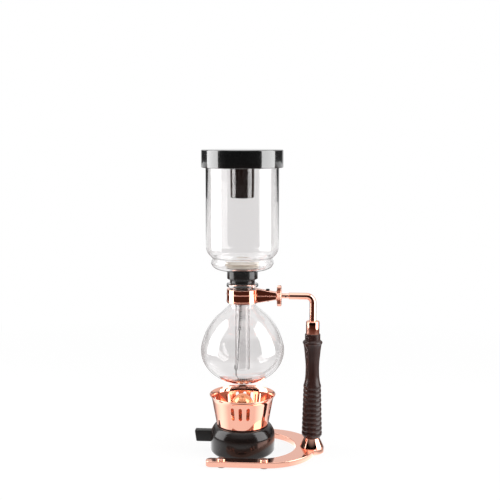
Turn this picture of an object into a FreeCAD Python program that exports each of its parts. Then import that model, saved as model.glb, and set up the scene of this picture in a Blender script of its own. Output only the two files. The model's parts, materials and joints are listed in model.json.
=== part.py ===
import FreeCAD, Part

import math
import os

from FreeCAD import Vector

# A tabletop siphon coffee maker, in millimetres. +Z is up and z = 0 is the table. The pieces are drawn
# about the bulb's upright axis, with the post on the +X side, and are moved in X at the end so that the
# origin lies under the middle of the whole.

# Fits
FIT = 0.1            # radial play between pieces that stay together
RUN = 0.05           # radial play of a nut or sleeve that turns or slides
SEAT = 0.3           # play between curved pieces that come apart in use
FLAT = 0.05          # play between flat faces that come apart in use
OVER = 1.0           # how far a cutter runs past the face that it opens

# Forked base plate
FOOT_PROUD = 1.5     # rubber foot below the plate
PLATE_T = 8.0
PLATE_EDGE = 0.9     # rounding of the plate's upper edge
ARM_IN = 56.5        # centre line to an arm's inner side
ARM_W = 16.5
ARM_TIP = 46.0       # bulb axis to the arms' tips
TIP_R = 7.0
OPENING_END = 77.0   # bulb axis to the closed end of the opening
BOSS_R = 17.4        # round end under the post
BOSS_BLEND = 6.0     # hollow rounding where the boss meets the plate
BOSS_PROUD = 11.9    # boss beyond the plate's round outer end
POST_X = 100.0       # bulb axis to the post axis

# Feet and their screws
FOOT_X = 29.5        # middle of the feet to each pair
FOOT_MID = 5.0       # bulb axis to the middle of the feet
FOOT_D = 12.0
FOOT_SINK = 2.0      # depth of the foot's pocket in the plate
SCREW_D = 5.0
SCREW_HEAD_D = 11.5
SCREW_HEAD_H = 2.6
SCREW_SHORT = 0.8    # screw tip above the table

# Post: tie rod, nut, cone, wooden handle, ferrule
TIE_D = 6.0
TIE_IN_ROD = 12.0    # tie rod's length inside the bent rod
TIE_PROUD = 0.3      # tie rod's tip below its nut
NUT_AF = 10.0        # across the nut's flats
NUT_SIDES = 6
NUT_H = 3.6
WASHER_D = 16.0
WASHER_T = 1.2
CONE_H = 14.0
CONE_TOP_R = 10.5
CONE_STEP = 0.5      # boss edge outside the cone
HANDLE_L = 151.5
GRIP_END_R = 11.8    # foot of the handle inside its chamfer
GRIP_CHAMFER = 3.0
GRIP_LOW_R = 13.9
GRIP_HIGH_R = 11.7
RIDGES = 11
RIDGE_PITCH = 6.9
RIDGE_H = 0.8
WAIST_R = 9.65
WAIST_Z = 101.0      # above the handle's foot
FLARE_R = 11.1
FLARE_Z = 122.5
BEAD_R = 14.0
BEAD_LOW_R = 12.9
BEAD_Z = 136.5       # lower edge of the bead
BEAD_H = 6.2
CAP_R = 10.9
CAP_CHAMFER = 0.5
FERRULE_R = 9.5
FERRULE_H = 18.6
FERRULE_EDGE = 1.6

# Bent rod and clamp
ROD_D = 9.4
BEND_R = 9.5
ROD_END = 66.0       # bulb axis to the rod's free end
STUD_D = 7.0
STUD_SOCKET = 11.0
STUD_PAST_PIN = 5.1  # stud's end beyond the pin's axis
BAND_H = 19.6
BAND_T = 3.6
RIB_R = 0.75         # half-round ribs round the band
RIB_HIGH = 0.35      # first rib's share of the band's height, from its top
RIB_LOW = 0.87
TAIL_END = 48.0      # bulb axis to the tails' ends
TAIL_T = 1.4
TAIL_RISE = 0.7      # tails' roots above the band's top
TAIL_END_H = 10.6
SLIT = 1.2           # gap between the tails' folded edges
PIN_D = 3.2
PIN_X = 36.0
PIN_PROUD = 0.8      # pin's lower end below the tails
PIN_HEAD_D = 5.4
PIN_HEAD_H = 1.8
COLLAR_D = 15.0
COLLAR_T = 1.2
THUMB_D = 29.7
THUMB_T = 6.1
THUMB_TEETH = 44
THUMB_TOOTH = 0.7
STOP_PIN_D = 2.4
STOP_PIN_X = 61.6
STOP_PIN_PROUD = 0.9

# Lower bulb
NECK_R = 18.3
GLASS_T = 1.9
LIP_R = 22.5
LIP_H = 8.2          # band top to the lip's top
LIP_EDGE = 2.2
LIP_FLARE = 2.2      # widening of the neck's bore at the lip
BULB_R = 59.3
BULB_TUCK = 0.2      # band's lower edge down to the top of the bulb's full curve
BULB_POWER = 1.7     # roundness of the upper half
BULB_DEPTH = 48.0    # widest section down to the bottom
NECK_BLEND = 0.44    # share of the bulb's radius where the neck's blend ends
NECK_SHOW = 1.6      # straight neck under the band
BULB_STATIONS = (NECK_BLEND, 0.62, 0.78, 0.91)   # shares of the bulb's radius that set its upper curve

# Stopper
STOPPER_R = 21.75
STOPPER_PROUD = 19.0
STOPPER_CAP_H = 12.6
STOPPER_STEP_R = 17.7
PLUG_DEPTH = 19.0
PLUG_TIP_R = 12.6
STOPPER_EDGE = 1.2

# Upper chamber
CHAMBER_R = 51.5
CHAMBER_T = 2.2
CHAMBER_H = 166.0
SHOULDER_H = 34.0    # chamber bottom to the end of the straight wall
WALL_LOW = 30.0      # chamber bottom to the joint between its wall and its well
GROOVE_R = 42.2
GROOVE_H = 16.6
WELL_R = 44.2
WELL_H = 9.4
FLAT_R = 25.0        # flat middle of the chamber's bottom
# Bends of the chamber's side, each as shares of the radial and upright run of its stretch
SHOULDER_BEND_HIGH = (0.2, 0.48)
SHOULDER_BEND_LOW = (0.76, 0.86)
GROOVE_BEND = (0.2, 0.5)
WELL_BEND_HIGH = (0.17, 0.54)
WELL_BEND_LOW = (0.52, 0.88)
STEM_R = 10.25
STEM_T = 1.75
STEM_L = 144.0
STEM_CLEAR = 18.1    # bulb's inner bottom up to the stem's end
FLAME_GAP = 16.75    # snuffer cap up to the bulb

# Filter, its spring, hook and bead chain
CLOTH_R = 24.2
CLOTH_T = 1.2
DISC_T = 6.0
DISC_HOLE_D = 3.0
DISC_HOLES = 10
DISC_HOLES_R = 15.0
CLOTH_MOUTH_R = 9.0
BOLT_D = 3.0
BOLT_REACH = 8.0     # bolt below the chamber's floor
WIRE_D = 0.8
SPRING_D = 4.7
SPRING_TURNS = 30
SPRING_L = 72.0
SPRING_SAMPLES = 24  # points to a turn when the gap between turns is measured
HOOK_D = 1.2
HOOK_PLAY = 0.5      # hook wire to the stem's wall
HOOK_LEG = 4.0
LOOP_D = 3.6
CHAIN_BEAD_D = 2.4
CHAIN_PITCH = 3.1
CHAIN_HANGING = 3    # beads above the bulb's bottom
CHAIN_LYING = 7
LINK_D = 0.6

# Lid
LID_R = 57.5
LID_T = 3.0
LID_WALL = 3.0
LID_SKIRT = 22.0     # skirt below the chamber's rim
LID_EDGE = 1.5
LID_RING_H = 5.0
LID_RING_T = 2.0
LID_PLAY = 0.7       # locating ring to the chamber's wall
TUBE_R = 17.6
TUBE_TIP_R = 16.9
TUBE_T = 2.2
TUBE_L = 66.0

# Spirit burner
CASING_R = 46.5
CASING_T = 2.0
CASING_WALL_H = 26.0
CASING_H = 40.5
CASING_SHOULDER = 8.5   # width of the casing's rounded shoulder
CASING_FOOT_R = 6.0  # rounding of the casing's lower edge
CASING_BULGE = (0.66, 0.60)   # shoulder's middle, as shares of its width and height
CASING_GAP = 4.0     # casing's hole to the tank's neck
SEAT_RING_H = 1.5    # raised ring that keeps the windshield in place
FLOOR_T = 2.0
TANK_GAP = 5.5       # casing's wall to the tank
TANK_T = 1.2
TANK_WALL_H = 23.0
TANK_SHOULDER = 35.5
TANK_NECK_R = 16.0
TANK_NECK_H = 46.5
WICK_R = 4.4
WICK_HIGH = 21.0     # wick above the tank's mouth
WICK_LOW = 6.0       # wick's lower end above the table
WICK_EDGE = 1.1
TUBE_WALL = 0.9
WICK_SHOWS = 5.0
HOLDER_T = 1.5
HOLDER_PLUG = 4.0
SNUFFER_R = 15.2
SNUFFER_T = 1.2
SNUFFER_WALL_H = 22.0
TAB_L = 23.0
TAB_H = 16.5
TAB_W = 12.0
TAB_Z = 14.5
TAB_SLANT = 2.4      # tab's lower edge is this much shorter
TAB_EDGE = 1.5
TAB_SCREW_D = 4.0
TAB_SCREW_L = 12.0
TAB_HEAD_D = 7.0
TAB_HEAD_H = 2.0

# Windshield
SHIELD_T = 1.0
SHIELD_HOLE_R = 23.0
SHIELD_INSET = 1.0   # shield's foot inside the casing's flat top
SHIELD_SPREAD = 6.6  # how much wider the wall is under the rim
RIM_FLARE = 3.9      # rim's overhang beyond the wall
SHIELD_WALL_H = 37.0
SHIELD_H = 44.5
SHIELD_CORNER = 2.0
SHIELD_CORNER_BEND = (0.25, 0.3)   # corner's middle, as shares of the corner
RIM_BEND = (0.36, 0.55)   # rim's middle, as shares of the flare's width and height
SLOT_W = 4.7
SLOT_H = 18.8
SLOT_Z = 16.6        # slot's lower end above the shield's floor
SLOT_PITCH = 15.0    # degrees
SLOTS_IN_GROUP = 3
SLOT_GROUPS = 4

# Levels that follow from the stack
PLATE_TOP = FOOT_PROUD + PLATE_T
CONE_TOP = PLATE_TOP + CONE_H
HANDLE_TOP = CONE_TOP + HANDLE_L
FERRULE_TOP = HANDLE_TOP + FERRULE_H
SHIELD_LOW = CASING_H + FLAT
HOLDER_LOW = TANK_NECK_H
HOLDER_TOP = HOLDER_LOW + HOLDER_T
SNUFFER_LOW = HOLDER_TOP + FLAT
BULB_LOW = SNUFFER_LOW + SNUFFER_WALL_H + SNUFFER_R + FLAME_GAP
BULB_MID = BULB_LOW + BULB_DEPTH
STEM_END = BULB_LOW + GLASS_T + STEM_CLEAR
CHAMBER_LOW = STEM_END + STEM_L
CHAMBER_FLOOR = CHAMBER_LOW + CHAMBER_T
RIM_Z = CHAMBER_LOW + CHAMBER_H
LID_UNDER = RIM_Z + FLAT
LIP_TOP = CHAMBER_LOW - STOPPER_PROUD
BAND_TOP = LIP_TOP - LIP_H
BAND_LOW = BAND_TOP - BAND_H
CLAMP_Z = (BAND_TOP + BAND_LOW) / 2
BULB_RISE = BAND_LOW - BULB_TUCK - BULB_MID
TANK_R = CASING_R - CASING_T - TANK_GAP
CASING_TOP_R = CASING_R - CASING_SHOULDER
SHIELD_LOW_R = CASING_TOP_R - SHIELD_INSET
SHIELD_HIGH_R = SHIELD_LOW_R + SHIELD_SPREAD
SHIELD_RIM_R = SHIELD_HIGH_R + RIM_FLARE
NECK_BORE = NECK_R - GLASS_T
BAND_BORE = NECK_R + SEAT
BAND_R = BAND_BORE + BAND_T
TAIL_ROOT_H = BAND_H + 2 * TAIL_RISE
ARM_OUT = ARM_IN + ARM_W
ARM_MID = ARM_IN + ARM_W / 2
OUTER_X = POST_X + BOSS_R - BOSS_PROUD - ARM_OUT   # centre of the plate's round outer end
TAIL_W = STUD_D + 2 * SEAT + 2 * TAIL_T
AXIS_X = (CASING_R + TAB_L - POST_X - BOSS_R) / 2

X_AXIS = Vector(1, 0, 0)
Y_AXIS = Vector(0, 1, 0)
Z_AXIS = Vector(0, 0, 1)
CENTRE = Vector(0, 0, 0)
DIAGONAL = math.sqrt(0.5)   # sine of half a right angle


def export(name, shape):
    """Move a piece to the origin's frame and write it."""
    moved = shape.copy()
    moved.translate(Vector(AXIS_X, 0, 0))
    moved.exportStep("parts/" + name + ".step")


def at(point):
    """A point of an outline, (radius, height), in the XZ plane."""
    return Vector(point[0], 0, point[1])


def line(a, b):
    return Part.LineSegment(at(a), at(b)).toShape()


def straight(points):
    return [line(a, b) for a, b in zip(points, points[1:])]


def arc(a, middle, b):
    return Part.Arc(at(a), at(middle), at(b)).toShape()


def curve(points, start=None, end=None):
    """A smooth curve through points, with the directions it starts and ends in."""
    spline = Part.BSplineCurve()
    places = [at(point) for point in points]
    if start:
        spline.interpolate(Points=places, InitialTangent=at(start), FinalTangent=at(end))
    else:
        spline.interpolate(Points=places)
    return spline.toShape()


def spun(edges):
    """Revolve a closed outline about the upright axis."""
    return Part.Face(Part.Wire(edges)).revolve(CENTRE, Z_AXIS, 360)


def ring(points):
    return spun(straight(points + points[:1]))


def cylinder(radius, low, high, x=0.0, y=0.0):
    return Part.makeCylinder(radius, high - low, Vector(x, y, low), Z_AXIS)


def across(radius, start, length, axis):
    return Part.makeCylinder(radius, length, start, axis)


def box(low, high):
    size = high.sub(low)
    return Part.makeBox(size.x, size.y, size.z, low)


def pipe(path_edges, start, direction, radius):
    """A round bar along a path of lines and arcs."""
    circle = Part.Wire(Part.makeCircle(radius, start, direction))
    return Part.Wire(path_edges).makePipeShell([circle], True, False)


def between(a, b, shares):
    """A point between two others, at a share of the radial run and a share of the upright run."""
    return (a[0] + (b[0] - a[0]) * shares[0], a[1] + (b[1] - a[1]) * shares[1])


def inside(points, wall):
    """An outline that runs down the outside of a vessel, moved inwards by the wall's thickness."""
    moved = []
    for i, (r, z) in enumerate(points):
        before = points[max(i - 1, 0)]
        after = points[min(i + 1, len(points) - 1)]
        run = math.hypot(after[0] - before[0], after[1] - before[1])
        moved.append((r + (after[1] - before[1]) / run * wall, z - (after[0] - before[0]) / run * wall))
    return moved


def foot_places():
    return [(x, y) for x in (FOOT_MID - FOOT_X, FOOT_MID + FOOT_X) for y in (-ARM_MID, ARM_MID)]


def base_fork():
    """Plate with two arms, open towards -X, a round outer end and a boss under the post."""
    opening_x = OPENING_END - ARM_IN
    outline = Part.Wire([
        flat_line((-ARM_TIP, ARM_OUT), (OUTER_X, ARM_OUT)),
        flat_arc((OUTER_X, ARM_OUT), (OUTER_X + ARM_OUT, 0), (OUTER_X, -ARM_OUT)),
        flat_line((OUTER_X, -ARM_OUT), (-ARM_TIP, -ARM_OUT)),
        flat_line((-ARM_TIP, -ARM_OUT), (-ARM_TIP, -ARM_IN)),
        flat_line((-ARM_TIP, -ARM_IN), (opening_x, -ARM_IN)),
        flat_arc((opening_x, -ARM_IN), (OPENING_END, 0), (opening_x, ARM_IN)),
        flat_line((opening_x, ARM_IN), (-ARM_TIP, ARM_IN)),
        flat_line((-ARM_TIP, ARM_IN), (-ARM_TIP, ARM_OUT)),
    ])
    plate = Part.Face(outline).extrude(Vector(0, 0, PLATE_T))
    plate.translate(Vector(0, 0, FOOT_PROUD))
    plate = plate.fuse(cylinder(BOSS_R, FOOT_PROUD, PLATE_TOP, POST_X)).removeSplitter()
    apart = POST_X - OUTER_X
    boss_edge = OUTER_X + (apart ** 2 + ARM_OUT ** 2 - BOSS_R ** 2) / (2 * apart)
    plate = plate.makeFillet(TIP_R, upright_edges(plate, -ARM_TIP))
    plate = plate.makeFillet(BOSS_BLEND, upright_edges(plate, boss_edge))
    plate = plate.makeFillet(PLATE_EDGE, edges_at(plate, PLATE_TOP))
    for x, y in foot_places():
        plate = plate.cut(cylinder(SCREW_D / 2 + FIT, 0, PLATE_TOP + OVER, x, y))
        plate = plate.cut(cylinder(FOOT_D / 2 + FIT, 0, FOOT_PROUD + FOOT_SINK, x, y))
    plate = plate.cut(cylinder(TIE_D / 2 + FIT, 0, PLATE_TOP + OVER, POST_X))
    return plate.cut(cylinder(WASHER_D / 2 + SEAT, 0, nut_low() + NUT_H + WASHER_T, POST_X))


def flat_line(a, b):
    return Part.LineSegment(Vector(a[0], a[1], 0), Vector(b[0], b[1], 0)).toShape()


def flat_arc(a, middle, b):
    return Part.Arc(Vector(*a, 0), Vector(*middle, 0), Vector(*b, 0)).toShape()


def upright_edges(solid, x):
    """Vertical edges of a solid at one X."""
    found = []
    for edge in solid.Edges:
        size = edge.BoundBox
        if size.ZLength > PLATE_T / 2 and size.XLength < FLAT and abs(size.XMin - x) < FLAT:
            found.append(edge)
    return found


def edges_at(solid, z):
    """Edges of a solid that lie at one height."""
    return [e for e in solid.Edges if e.BoundBox.ZLength < FLAT and abs(e.BoundBox.ZMin - z) < FLAT]


def nut_low():
    """Underside of the tie rod's nut, inside the plate."""
    return FOOT_PROUD + TIE_PROUD


def rubber_feet():
    feet = []
    for x, y in foot_places():
        foot = cylinder(FOOT_D / 2, 0, FOOT_PROUD + FOOT_SINK, x, y)
        feet.append(foot.cut(cylinder(SCREW_D / 2 + FIT, -OVER, PLATE_TOP, x, y)))
    return Part.makeCompound(feet)


def foot_screws():
    """Low round-headed screws that hold the feet."""
    screws = []
    for x, y in foot_places():
        head = cylinder(SCREW_HEAD_D / 2, PLATE_TOP, PLATE_TOP + SCREW_HEAD_H, x, y)
        head = head.makeFillet(PLATE_EDGE, edges_at(head, PLATE_TOP + SCREW_HEAD_H))
        screws.append(head.fuse(cylinder(SCREW_D / 2, SCREW_SHORT, PLATE_TOP, x, y)).removeSplitter())
    return Part.makeCompound(screws)


def at_post(solid):
    solid.translate(Vector(POST_X, 0, 0))
    return solid


def base_washer():
    top = nut_low() + NUT_H + WASHER_T
    washer = cylinder(WASHER_D / 2, top - WASHER_T, top, POST_X)
    return washer.cut(cylinder(TIE_D / 2 + FIT, 0, top + OVER, POST_X))


def base_nut():
    corner = NUT_AF / 2 / math.cos(math.pi / NUT_SIDES)
    places = []
    for i in range(NUT_SIDES):
        turn = 2 * math.pi * i / NUT_SIDES
        places.append(Vector(POST_X + corner * math.cos(turn), corner * math.sin(turn), nut_low()))
    nut = Part.Face(Part.makePolygon(places + places[:1])).extrude(Vector(0, 0, NUT_H))
    return nut.cut(cylinder(TIE_D / 2 + RUN, 0, PLATE_TOP, POST_X))


def tie_rod():
    return cylinder(TIE_D / 2, FOOT_PROUD, HANDLE_TOP + TIE_IN_ROD, POST_X)


def foot_cone():
    low_r = BOSS_R - CONE_STEP
    bore = TIE_D / 2 + FIT
    cone = ring([(bore, PLATE_TOP), (low_r, PLATE_TOP), (low_r, PLATE_TOP + CONE_STEP),
                 (CONE_TOP_R, CONE_TOP), (bore, CONE_TOP)])
    return at_post(cone)


def wood_handle():
    """Turned handle: a ridged grip, a waist, a bead and a cap."""
    bore = TIE_D / 2 + FIT
    grip_z = CONE_TOP + GRIP_CHAMFER
    edges = straight([(bore, CONE_TOP), (GRIP_END_R, CONE_TOP), (GRIP_LOW_R, grip_z)])
    taper = (GRIP_HIGH_R - GRIP_LOW_R) / RIDGES
    for i in range(RIDGES):
        low = (GRIP_LOW_R + taper * i, grip_z + RIDGE_PITCH * i)
        high = (low[0] + taper, low[1] + RIDGE_PITCH)
        edges.append(arc(low, ((low[0] + high[0]) / 2 + RIDGE_H, low[1] + RIDGE_PITCH / 2), high))
    bead_z = CONE_TOP + BEAD_Z
    bead_low = (BEAD_LOW_R, bead_z)
    bead_high = (CAP_R, bead_z + BEAD_H)
    edges.append(curve([high, (WAIST_R, CONE_TOP + WAIST_Z), (FLARE_R, CONE_TOP + FLARE_Z), bead_low]))
    edges.append(arc(bead_low, (BEAD_R, bead_z + BEAD_H / 2), bead_high))
    edges += straight([bead_high, (CAP_R, HANDLE_TOP - CAP_CHAMFER), (CAP_R - CAP_CHAMFER, HANDLE_TOP),
                       (bore, HANDLE_TOP), (bore, CONE_TOP)])
    return at_post(spun(edges))


def ferrule():
    sleeve = cylinder(FERRULE_R, HANDLE_TOP, FERRULE_TOP, POST_X)
    sleeve = sleeve.makeFillet(FERRULE_EDGE, edges_at(sleeve, FERRULE_TOP))
    return sleeve.cut(cylinder(ROD_D / 2 + FIT, HANDLE_TOP - OVER, FERRULE_TOP + OVER, POST_X))


def support_rod():
    """Rod that stands in the ferrule, bends and runs level to the clamp."""
    bend_z = CLAMP_Z - BEND_R
    bend_x = POST_X - BEND_R
    knee = BEND_R * (1 - DIAGONAL)
    path = straight([(POST_X, HANDLE_TOP), (POST_X, bend_z)])
    path.append(arc((POST_X, bend_z), (POST_X - knee, CLAMP_Z - knee), (bend_x, CLAMP_Z)))
    path.append(line((bend_x, CLAMP_Z), (ROD_END, CLAMP_Z)))
    rod = pipe(path, at((POST_X, HANDLE_TOP)), Z_AXIS, ROD_D / 2)
    rod = rod.cut(across(STUD_D / 2 + FIT, at((ROD_END - OVER, CLAMP_Z)), STUD_SOCKET + OVER, X_AXIS))
    return rod.cut(cylinder(TIE_D / 2 + FIT, HANDLE_TOP - OVER, HANDLE_TOP + TIE_IN_ROD + FIT, POST_X))


def fishtail(width, cut_back, reach):
    """Tapering block from the band to the tails' ends, narrowed all round by cut_back."""
    root = TAIL_ROOT_H / 2 - cut_back
    end = TAIL_END_H / 2 - cut_back
    slope = (root - end) / (TAIL_END - NECK_R)
    tip = end - slope * (reach - TAIL_END)
    side = Part.makePolygon([at((NECK_R, CLAMP_Z - root)), at((reach, CLAMP_Z - tip)),
                             at((reach, CLAMP_Z + tip)), at((NECK_R, CLAMP_Z + root)),
                             at((NECK_R, CLAMP_Z - root))])
    block = Part.Face(side).extrude(Vector(0, width, 0))
    block.translate(Vector(0, -width / 2, 0))
    return block


def neck_band():
    """Split ring round the bulb's neck, with two tails folded to a tapering box."""
    edges = straight([(BAND_BORE, BAND_TOP), (BAND_BORE, BAND_LOW), (BAND_R, BAND_LOW)])
    z = BAND_LOW
    for share in (RIB_LOW, RIB_HIGH):
        rib = BAND_TOP - share * BAND_H
        edges.append(line((BAND_R, z), (BAND_R, rib - RIB_R)))
        edges.append(arc((BAND_R, rib - RIB_R), (BAND_R + RIB_R, rib), (BAND_R, rib + RIB_R)))
        z = rib + RIB_R
    edges += straight([(BAND_R, z), (BAND_R, BAND_TOP), (BAND_BORE, BAND_TOP)])
    band = spun(edges).fuse(fishtail(TAIL_W, 0, TAIL_END)).removeSplitter()
    band = band.cut(fishtail(STUD_D + 2 * SEAT, TAIL_T, TAIL_END + OVER))
    band = band.cut(cylinder(BAND_BORE, BAND_LOW - BAND_H, BAND_TOP + BAND_H))
    low = Vector(0, -SLIT / 2, BAND_LOW - BAND_H)
    band = band.cut(box(low, Vector(TAIL_END + OVER, SLIT / 2, BAND_TOP + BAND_H)))
    return band.cut(cylinder(PIN_D / 2 + FIT, BAND_LOW, BAND_TOP, PIN_X))


def clamp_stud():
    start = PIN_X - STUD_PAST_PIN
    stud = across(STUD_D / 2, at((start, CLAMP_Z)), ROD_END + STUD_SOCKET - FIT - start, X_AXIS)
    stud = stud.cut(cylinder(PIN_D / 2 + FIT, BAND_LOW, BAND_TOP, PIN_X))
    return stud.cut(across(STOP_PIN_D / 2 + FIT, Vector(STOP_PIN_X, -STUD_D, CLAMP_Z), 2 * STUD_D, Y_AXIS))


def tail_half(x):
    """Half the tails' height at a distance from the bulb's axis."""
    share = (x - NECK_R) / (TAIL_END - NECK_R)
    return (TAIL_ROOT_H + (TAIL_END_H - TAIL_ROOT_H) * share) / 2


def clamp_pin():
    """Headed pin down through the folded tails and the stud."""
    top = CLAMP_Z + tail_half(PIN_X - PIN_HEAD_D / 2) + FLAT
    low = CLAMP_Z - tail_half(PIN_X)
    shank = cylinder(PIN_D / 2, low - PIN_PROUD, top, PIN_X)
    head = cylinder(PIN_HEAD_D / 2, top, top + PIN_HEAD_H, PIN_X)
    head = head.makeFillet(PIN_HEAD_H / 2, edges_at(head, top + PIN_HEAD_H))
    return shank.fuse(head).removeSplitter()


def stop_pin():
    half = STUD_D / 2 + STOP_PIN_PROUD
    return across(STOP_PIN_D / 2, Vector(STOP_PIN_X, -half, CLAMP_Z), 2 * half, Y_AXIS)


def clamp_collar():
    start = at((TAIL_END + FLAT, CLAMP_Z))
    collar = across(COLLAR_D / 2, start, COLLAR_T, X_AXIS)
    return collar.cut(across(STUD_D / 2 + RUN, start, COLLAR_T, X_AXIS))


def thumb_nut():
    """Disc with a toothed edge that is turned by hand."""
    x = TAIL_END + COLLAR_T + 2 * FLAT
    places = []
    for i in range(2 * THUMB_TEETH):
        radius = THUMB_D / 2 - (i % 2) * THUMB_TOOTH
        angle = math.pi * i / THUMB_TEETH
        places.append(Vector(x, radius * math.cos(angle), CLAMP_Z + radius * math.sin(angle)))
    nut = Part.Face(Part.makePolygon(places + places[:1])).extrude(Vector(THUMB_T, 0, 0))
    return nut.cut(across(STUD_D / 2 + RUN, at((x - OVER, CLAMP_Z)), THUMB_T + 2 * OVER, X_AXIS))


def bulb_side():
    """Points down the upper half of the bulb's outside, from the neck to the widest section."""
    points = [(NECK_R, BAND_LOW - NECK_SHOW)]
    for share in BULB_STATIONS:
        height = (1 - share ** BULB_POWER) ** (1 / BULB_POWER)
        points.append((BULB_R * share, BULB_MID + BULB_RISE * height))
    points.append((BULB_R, BULB_MID))
    return points


def bowl(inward):
    """Quarter ellipse from the bulb's bottom to its widest section, moved inwards."""
    centre = Vector(0, 0, BULB_MID)
    side = Vector(BULB_R - inward, 0, BULB_MID)
    bottom = Vector(0, 0, BULB_LOW + inward)
    ellipse = Part.Ellipse(side, bottom, centre)
    return Part.ArcOfEllipse(ellipse, 0, math.pi / 2).toBSpline().toShape()


def bulb_neck():
    """Neck of the glass bulb, with a flared lip that rests on the band."""
    foot = BAND_LOW - NECK_SHOW
    lip_low = (NECK_R, BAND_TOP + TAIL_RISE + SEAT)
    lip_out = (LIP_R, LIP_TOP - 2 * LIP_EDGE)
    lip_high = (LIP_R - LIP_EDGE, LIP_TOP)
    lip_in = (NECK_BORE + LIP_FLARE, LIP_TOP)
    throat = (NECK_BORE, BAND_TOP)
    round_r = LIP_EDGE * (1 - DIAGONAL)
    edges = straight([(NECK_R, foot), (NECK_BORE, foot), throat, lip_in, lip_high])
    edges.append(arc(lip_high, (LIP_R - round_r, LIP_TOP - round_r), (LIP_R, LIP_TOP - LIP_EDGE)))
    edges += straight([(LIP_R, LIP_TOP - LIP_EDGE), lip_out, lip_low, (NECK_R, foot)])
    return spun(edges)


def bulb_shoulder():
    """Upper half of the glass bulb, from the neck to the widest section."""
    outer = bulb_side()
    inner = inside(outer, GLASS_T)
    inner[0] = (NECK_BORE, outer[0][1])
    inner[-1] = (BULB_R - GLASS_T, BULB_MID)
    return spun([
        curve(outer, (0, -1), (0, -1)),
        line(outer[-1], inner[-1]),
        curve(inner, (0, -1), (0, -1)),
        line(inner[0], outer[0]),
    ])


def bulb_bowl():
    """Lower half of the glass bulb."""
    return spun([
        bowl(0),
        line((0, BULB_LOW), (0, BULB_LOW + GLASS_T)),
        bowl(GLASS_T),
        line((BULB_R - GLASS_T, BULB_MID), (BULB_R, BULB_MID)),
    ])


def stopper():
    """Rubber stopper: a cap under the chamber and a tapered plug in the bulb's neck."""
    bore = STEM_R + FIT
    cap_low = CHAMBER_LOW - STOPPER_CAP_H
    plug_r = NECK_BORE - SEAT
    return ring([
        (bore, CHAMBER_LOW), (STOPPER_R - STOPPER_EDGE, CHAMBER_LOW),
        (STOPPER_R, CHAMBER_LOW - STOPPER_EDGE), (STOPPER_R, cap_low + STOPPER_EDGE),
        (STOPPER_R - STOPPER_EDGE, cap_low), (STOPPER_STEP_R, cap_low - STOPPER_EDGE),
        (STOPPER_STEP_R, LIP_TOP + STOPPER_EDGE), (plug_r, BAND_TOP),
        (PLUG_TIP_R, LIP_TOP - PLUG_DEPTH), (bore, LIP_TOP - PLUG_DEPTH),
    ])


def chamber_side():
    """Points down the chamber's outside, from the straight wall to the flat bottom."""
    z = CHAMBER_LOW
    wall = (CHAMBER_R, z + SHOULDER_H)
    groove = (GROOVE_R, z + GROOVE_H)
    well = (WELL_R, z + WELL_H)
    bottom = (FLAT_R, z)
    return [
        wall,
        between(wall, groove, SHOULDER_BEND_HIGH),
        between(wall, groove, SHOULDER_BEND_LOW),
        groove,
        between(well, groove, GROOVE_BEND),
        well,
        between(well, bottom, WELL_BEND_HIGH),
        between(well, bottom, WELL_BEND_LOW),
        bottom,
    ]


def chamber_glass():
    """Glass chamber without its stem: wall, shoulder, grooved waist and filter well."""
    outer = chamber_side()
    inner = inside(outer, CHAMBER_T)[::-1]
    inner[0] = (FLAT_R, CHAMBER_FLOOR)
    inner[-1] = (CHAMBER_R - CHAMBER_T, outer[0][1])
    bore = STEM_R - STEM_T
    edges = [line((CHAMBER_R, RIM_Z), outer[0]), curve(outer, (0, -1), (-1, 0))]
    edges += straight([outer[-1], (bore, CHAMBER_LOW), (bore, CHAMBER_FLOOR), inner[0]])
    edges.append(curve(inner, (1, 0), (0, 1)))
    edges += straight([inner[-1], (CHAMBER_R - CHAMBER_T, RIM_Z), (CHAMBER_R, RIM_Z)])
    return spun(edges)


def above_joint():
    return cylinder(CHAMBER_R + OVER, CHAMBER_LOW + WALL_LOW, RIM_Z + OVER)


def chamber_wall():
    """Glass chamber above its joint."""
    return chamber_glass().common(above_joint())


def chamber_well():
    """Glass chamber under its joint, down to the bottom that carries the filter."""
    return chamber_glass().cut(above_joint())


def chamber_stem():
    """Glass stem that reaches from the chamber's bottom almost to the bulb's bottom."""
    bore = STEM_R - STEM_T
    return ring([(STEM_R, CHAMBER_LOW), (STEM_R, STEM_END), (bore, STEM_END), (bore, CHAMBER_LOW)])


def disc_low():
    return CHAMBER_FLOOR + CLOTH_T


def filter_disc():
    """Drilled disc inside the filter cloth."""
    low = disc_low()
    disc = cylinder(CLOTH_R - CLOTH_T - FIT, low, low + DISC_T)
    disc = disc.cut(cylinder(BOLT_D / 2 + FIT, low - OVER, low + DISC_T + OVER))
    for i in range(DISC_HOLES):
        angle = 2 * math.pi * i / DISC_HOLES
        x = DISC_HOLES_R * math.cos(angle)
        y = DISC_HOLES_R * math.sin(angle)
        disc = disc.cut(cylinder(DISC_HOLE_D / 2, low - OVER, low + DISC_T + OVER, x, y))
    return disc


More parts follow.
